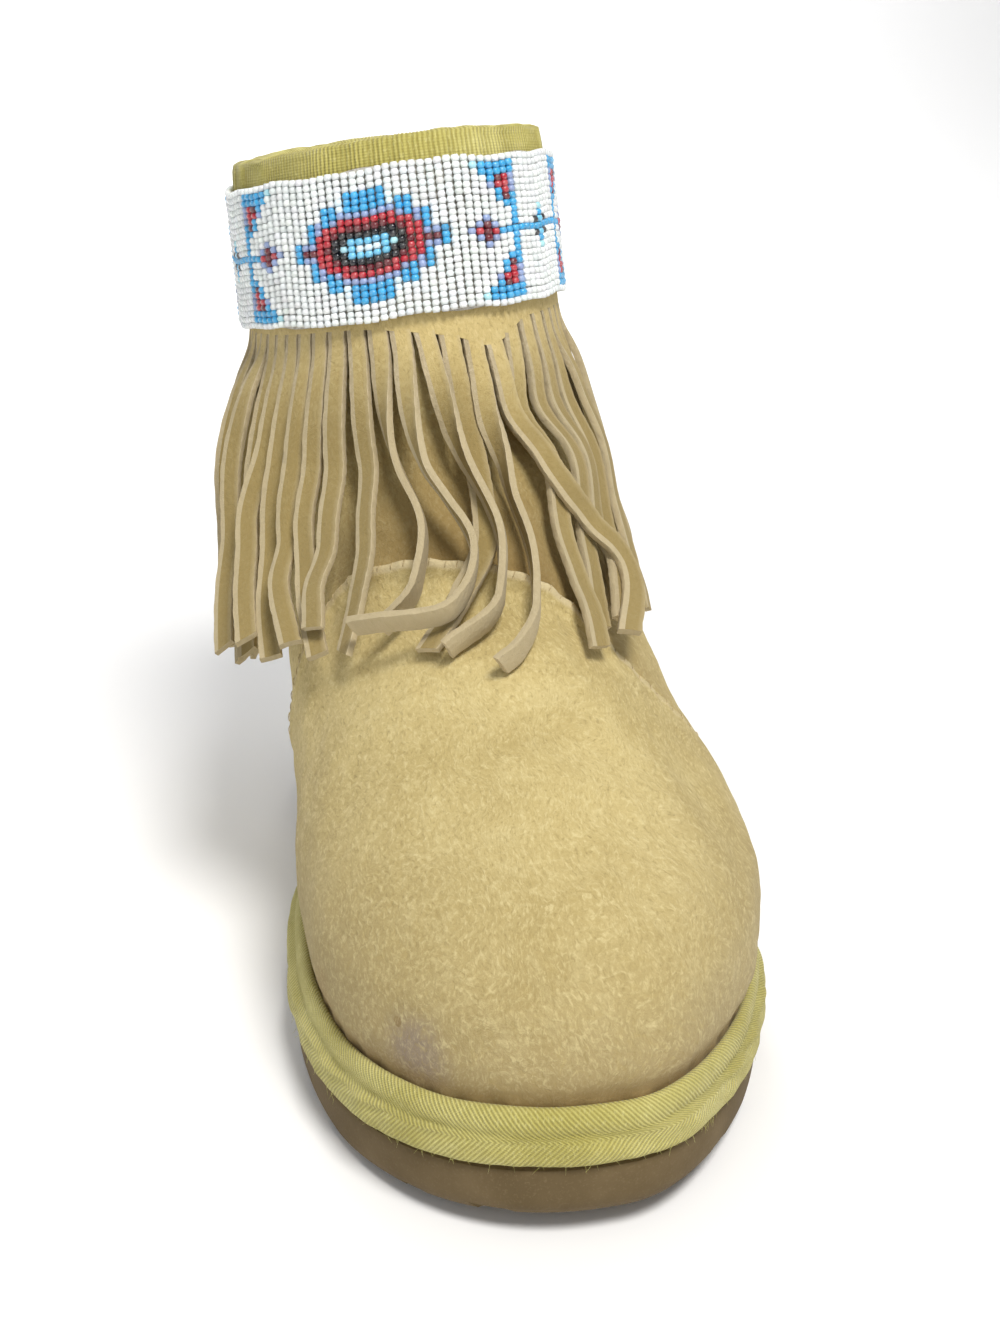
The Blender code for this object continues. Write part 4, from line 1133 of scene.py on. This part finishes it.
def stripEdges():
    fine = np.linspace(-1.0, 1.0, 721)
    line = skin(fine, riseBelowCollar(fine, trim["bandDrop"] + trim["bandHeight"]), upper["curveGap"])
    length = runLength(line)
    width = length[-1] / fringe["count"]
    front = np.interp(0.0, fine, length)
    middle = front + (np.arange(fringe["count"]) - fringe["count"] // 2) * width
    left = (middle - (width - fringe["slitWidth"]) / 2) % length[-1]
    right = (middle + (width - fringe["slitWidth"]) / 2) % length[-1]
    return np.interp(left, length, fine), np.interp(right, length, fine), (width - fringe["slitWidth"]) / 2


def slitRise(turn):
    drop = trim["bandDrop"] + trim["bandHeight"] + fringe["slitDrop"] * smooth(
        signedTurn(turn), fringe["slitTurn"], fringe["slitDown"])
    return riseBelowCollar(turn, drop)


def stripTable():
    number = np.arange(fringe["count"]) - fringe["count"] // 2
    stray = np.outer(fringe["swayShares"], fringe["sway"] * np.sin(fringe["swayWave"] * number))
    length = 1 + fringe["uneven"] * np.sin(fringe["unevenWave"] * number)
    layer = np.zeros(fringe["count"])
    twist = np.zeros(fringe["count"])
    for n, third, middle, low, tip, long, level, turned in fringe["strips"]:
        k = n + fringe["count"] // 2
        stray[1:, k] = (third, middle, low, tip)
        length[k] = long
        layer[k] = level
        twist[k] = turned
    return stray, length * fringe["length"], layer, twist


def stripRoutes(left, right, halfWide):
    stray, length, layer, turned = stripTable()
    steps = fringe["steps"]
    wide = (right - left) % 2.0
    start = left + wide / 2
    shares = np.linspace(0.0, 1.0, steps + 1)
    away = np.stack([smooth(shares, fringe["shares"], stray[:, k]) for k in range(fringe["count"])], axis=1)
    turn = start + away * wide
    rise = np.zeros_like(turn)
    rise[0] = slitRise(start)
    step = length / steps
    d = 1e-3
    for k in range(steps):
        down = np.linalg.norm(wall(turn[k], rise[k]) - wall(turn[k], rise[k] - d), axis=-1) / d
        side = np.linalg.norm(wall(turn[k] + d, rise[k]) - wall(turn[k], rise[k]), axis=-1) / d
        across = side * (turn[k + 1] - turn[k])
        drop = np.sqrt(np.maximum(step ** 2 - across ** 2, (fringe["leastDrop"] * step) ** 2))
        rise[k + 1] = rise[k] - drop / down
    settle = np.clip(shares / fringe["shares"][2], 0, 1)[:, None] ** 2
    turning = np.clip(shares / fringe["turnedBy"], 0, 1)[:, None]
    turning = turning * turning * (3 - 2 * turning)
    lift = upper["curveGap"] + upper["ridgeHeight"] * settle + fringe["bridge"] * np.sin(math.pi * shares)[:, None]
    lift = lift + fringe["hang"] * np.maximum(-np.sin(start * math.pi), 0) ** 2 * shares[:, None] ** 1.5
    solid = np.clip(turned, -1, 1) * fringe["solidTwist"] * turning
    lift = lift + np.abs(np.sin(solid)) * halfWide
    lift = layOver(skin(turn, rise, 0.0), lift, solid, step, layer, halfWide)
    join = np.clip(shares / fringe["blend"], 0, 1)[:, None]
    join = join * join * (3 - 2 * join)
    lift = upper["curveGap"] * (1 - join) + lift * join
    blur = np.array([1, 2, 3, 4, 3, 2, 1]) / 16
    padded = np.concatenate([np.repeat(lift[:1], 3, 0), lift, np.repeat(lift[-1:], 3, 0)])
    soft = sum(b * padded[i:i + steps + 1] for i, b in enumerate(blur))
    return turn, rise, soft, turned * fringe["twist"] * turning


def layOver(middle, lift, twist, step, layer, halfWide):
    reach = np.cos(twist) * halfWide + np.abs(np.sin(twist)) * fringe["thick"]
    deep = np.abs(np.sin(twist)) * halfWide
    face = np.zeros_like(lift)
    order = np.lexsort((np.arange(fringe["count"]) % 2, layer))
    steps = len(lift) - 1
    for place, i in enumerate(order):
        under = order[:place]
        for k in range(1, steps + 1):
            apart = np.linalg.norm(middle[:, under] - middle[k, i], axis=-1)
            crossed = apart < reach[:, under] + reach[k, i]
            if crossed.any():
                lift[k, i] = max(lift[k, i], face[:, under][crossed].max() + fringe["clear"] + deep[k, i])
        for k in range(1, steps + 1):
            lift[k, i] = max(lift[k, i], lift[k - 1, i] - fringe["ramp"] * step[i])
        for k in range(steps, 0, -1):
            lift[k - 1, i] = max(lift[k - 1, i], lift[k, i] - fringe["ramp"] * step[i])
        face[:, i] = lift[:, i] + np.cos(twist[:, i]) * fringe["thick"] + deep[:, i]
    return lift


# Across a strip: place in half widths, height in thicknesses, from the face round by the back
stripSection = ((-0.965, 1.00), (-0.50, 1.03), (0.00, 1.04), (0.50, 1.03), (0.965, 1.00), (1.00, 0.86),
                (1.00, 0.14), (0.96, 0.00), (0.35, 0.03), (-0.35, 0.03), (-0.96, 0.00), (-1.00, 0.14), (-1.00, 0.86))


def buildFringe():
    left, right, halfWide = stripEdges()
    turn, rise, lift, twist = stripRoutes(left, right, halfWide)
    middle = skin(turn, rise, lift)
    middle[0] = middle[1] + (middle[0] - middle[1]) * (1 + fringe["root"] / np.linalg.norm(
        middle[0] - middle[1], axis=-1, keepdims=True)) - skinNormal(turn[0], rise[0]) * 0.0003
    along = np.gradient(middle, axis=0)
    along = along / np.linalg.norm(along, axis=-1, keepdims=True)
    out = skinNormal(turn, rise)
    across = np.cross(out, along)
    across = across / np.linalg.norm(across, axis=-1, keepdims=True)
    out = np.cross(along, across)
    cosine = np.cos(twist)[..., None]
    sine = np.sin(twist)[..., None]
    across, out = across * cosine + out * sine, out * cosine - across * sine
    sides = len(stripSection)
    model = modelTube("stripModel", fringe["steps"] + 1, sides)
    strip, rowMark, columnMark = model
    looks = [fringeSuede, edgeSuede]
    for look in looks:
        strip.data.materials.append(look)
    # the first five columns are the strip's face, the rest and the ends are cut edge
    parts = [0 if len(face.vertices) == 4 and columnMark[list(face.vertices)].max() <= 4 else 1
             for face in strip.data.polygons]
    strip.data.polygons.foreach_set("material_index", parts)
    addMark(strip.data, "cut", np.where(np.isin(columnMark, (0, 4)), fringe["rim"], 0.0))
    addMark(strip.data, "worn", np.clip(rowMark / fringe["steps"] / fringe["handled"], 0, 1))
    dice = np.random.default_rng(71)
    made = []
    shareDown = np.linspace(0, 1, fringe["steps"] + 1)
    for i in range(fringe["count"]):
        broad = 1 + (fringe["broad"] - 1) * np.clip(shareDown / 0.25, 0, 1)
        wide = halfWide * broad * (1 + 0.06 * dice.uniform(-1, 1) * np.clip(shareDown / 0.15, 0, 1)
                           + 0.025 * np.sin(shareDown * dice.uniform(9, 17) + dice.uniform(0, 6)) * (shareDown > 0.02))
        cup = dice.uniform(-0.25, 0.45) * np.clip(shareDown / 0.3, 0, 1)
        points = np.empty((fringe["steps"] + 1, sides + 1, 3))
        for j in range(sides + 1):
            place, height = stripSection[j % sides]
            rough = 0.035 * np.sin(shareDown * (70 + 13 * (j % sides)) + 1.7 * i) * (abs(place) > 0.9)
            bow = cup * (place ** 2 - 0.5)
            points[:, j] = (middle[:, i] + across[:, i] * (wide * (place + rough * np.sign(place)))[:, None]
                            + out[:, i] * (fringe["thick"] * (height + bow))[:, None])
        slant = dice.uniform(-0.0011, 0.0011)
        for j in range(sides + 1):
            points[-1, j] += along[-1, i] * slant * stripSection[j % sides][0]
        made.append(copyOnto(model, points))
    dropModel(strip)
    edges = np.stack([left, right], axis=1).ravel()
    order = np.argsort(edges)
    ring = np.concatenate([edges[order][-1:] - 2.0, edges[order], edges[order][:1] + 2.0])
    ring = np.interp(np.linspace(0, len(ring) - 1, (len(ring) - 1) * 3 + 1), np.arange(len(ring)), ring)
    ring = np.clip(ring, -1.0, 1.0)
    ring = np.unique(np.concatenate([ring, [-1.0, 1.0]]))
    top = riseBelowCollar(ring, trim["bandDrop"] + trim["bandHeight"] - fringe["headerHeight"])
    low = slitRise(ring)
    shares = np.linspace(0, 1, 7)
    section = [skin(ring, low + (top - low) * s, upper["curveGap"] + fringe["thick"]) for s in shares]
    section += [skin(ring, low + (top - low) * s, upper["curveGap"]) for s in shares[::-1]]
    section.append(section[0])
    header = layGrid("header", np.array(section))
    closeUp(header)
    for look in looks:
        header.data.materials.append(look)
    piece = joinPieces([header] + made, "suedeFringe")
    pick(piece)
    bpy.ops.object.shade_smooth_by_angle(angle=math.radians(38))
    finishPiece(piece, looks, "suede", "fringe")


buildFringe()


# Loose cotton at the lower edge of the sole's tape

fray = {"count": 260, "seed": 81, "long": (0.0006, 0.0020), "radius": 0.00005}


def buildFray():
    dice = np.random.default_rng(fray["seed"])
    model = modelTube("fibreModel", 5, 3)
    made = []
    for i in range(fray["count"]):
        turn = dice.uniform(-1, 1)
        x, y = plan(turn, trim["soleTapeOut"] * 0.85)
        nx, ny = planNormal(turn)
        z = float(soleTop(shareAlong(y))) + 0.0008 + dice.uniform(0, 0.0012)
        start = np.array([float(x), float(y), z]) + packedShift
        way = np.array([float(nx), float(ny), 0.0]) * dice.uniform(0.05, 0.3)
        way = way + np.array([-float(ny), float(nx), 0.0]) * dice.uniform(-1, 1)
        way = way + np.array([0, 0, dice.uniform(-1.2, -0.3)])
        way = way / np.linalg.norm(way)
        bend = dice.normal(0, 0.5, 3)
        share = np.linspace(0, 1, 5)[:, None]
        line = start + way * share * dice.uniform(*fray["long"]) + bend * share ** 2 * 0.0007
        line[:, 2] = np.maximum(line[:, 2], 0.002)
        points = tubePoints(line, fray["radius"] * (1 - 0.6 * share[:, 0]), 3)
        made.append(copyOnto(model, points))
    dropModel(model[0])
    finishPiece(joinPieces(made, "looseCotton"), [looseCotton], "woven_tape")


buildFray()


# Stage, camera and light

view = {"place": (-0.0866, -0.3851, 0.2236), "yaw": 13.902, "pitch": -20.936, "roll": -0.642, "lens": 44.5}
stage = {"size": 5.0, "sweep": 1.2}


def buildStage():
    clearSelection()
    bpy.ops.mesh.primitive_plane_add(size=stage["size"], location=(0, 0, 0))
    floor = bpy.context.object
    floor.name = "paleFloor"
    bpy.ops.object.mode_set(mode="EDIT")
    bpy.ops.mesh.select_all(action="DESELECT")
    bpy.ops.object.mode_set(mode="OBJECT")
    for edge in floor.data.edges:
        edge.select = all(floor.data.vertices[v].co.y > 0 for v in edge.vertices)
    bpy.ops.object.mode_set(mode="EDIT")
    bpy.ops.mesh.select_mode(type="EDGE")
    bpy.ops.mesh.extrude_region_move(TRANSFORM_OT_translate={"value": (0, 0, stage["size"] / 2)})
    bpy.ops.object.mode_set(mode="OBJECT")
    applyModifier(floor, "BEVEL", width=stage["sweep"], segments=24, limit_method="ANGLE")
    bpy.ops.object.shade_smooth()
    finish = Finish("paleFloor", {"Specular IOR Level": 0.1})
    grain = finish.noise(40.0, 3.0, 0.6)
    floor.data.materials.append(finish.close(finish.mix(grain * 0.04, (0.93, 0.93, 0.93), (0.88, 0.88, 0.88)), 0.8))


def buildCamera():
    data = bpy.data.cameras.new("camera")
    camera = bpy.data.objects.new("camera", data)
    bpy.context.scene.collection.objects.link(camera)
    turnRound = Matrix.Rotation(math.radians(-view["yaw"]), 4, "Z")
    nod = Matrix.Rotation(math.radians(90 + view["pitch"]), 4, "X")
    roll = Matrix.Rotation(math.radians(view["roll"]), 4, "Z")
    place = Vector(view["place"]) + Vector(packedShift)
    camera.matrix_world = Matrix.Translation(place) @ turnRound @ nod @ roll
    data.lens = view["lens"]
    data.sensor_width = 36
    data.clip_start = 0.01
    bpy.context.scene.camera = camera


def areaLight(name, place, aim, size, power, colour):
    data = bpy.data.lights.new(name, "AREA")
    data.shape = "DISK"
    data.size = size
    data.energy = power
    data.color = colour
    lamp = bpy.data.objects.new(name, data)
    bpy.context.scene.collection.objects.link(lamp)
    lamp.location = place
    lamp.rotation_euler = (Vector(aim) - Vector(place)).to_track_quat("-Z", "Y").to_euler()


# Lamps: name, place, aim, size, power, colour
lamps = (
    ("key", (0.14, -0.74, 1.24), (0, 0, 0.06), 0.45, 17.0, (1.0, 0.98, 0.95)),
    ("fill", (-0.90, -0.95, 0.70), (0, 0, 0.08), 0.9, 1.8, (0.95, 0.97, 1.0)),
    ("back", (0.10, 1.15, 1.15), (0, 0, 0.12), 0.8, 5.0, (1.0, 1.0, 1.0)),
    ("sweepLight", (0, 1.3, 1.5), (0, 2.5, 0.5), 1.2, 26.0, (1.0, 1.0, 1.0)),
)


def buildLight():
    for lamp in lamps:
        areaLight(*lamp)
    world = bpy.data.worlds.new("studio")
    world.use_nodes = True
    world.node_tree.nodes["Background"].inputs["Color"].default_value = (1.0, 1.0, 1.0, 1.0)
    world.node_tree.nodes["Background"].inputs["Strength"].default_value = 0.38
    bpy.context.scene.world = world


buildStage()
buildCamera()
buildLight()
bpy.context.scene.view_settings.view_transform = "Standard"

print("all pieces made")
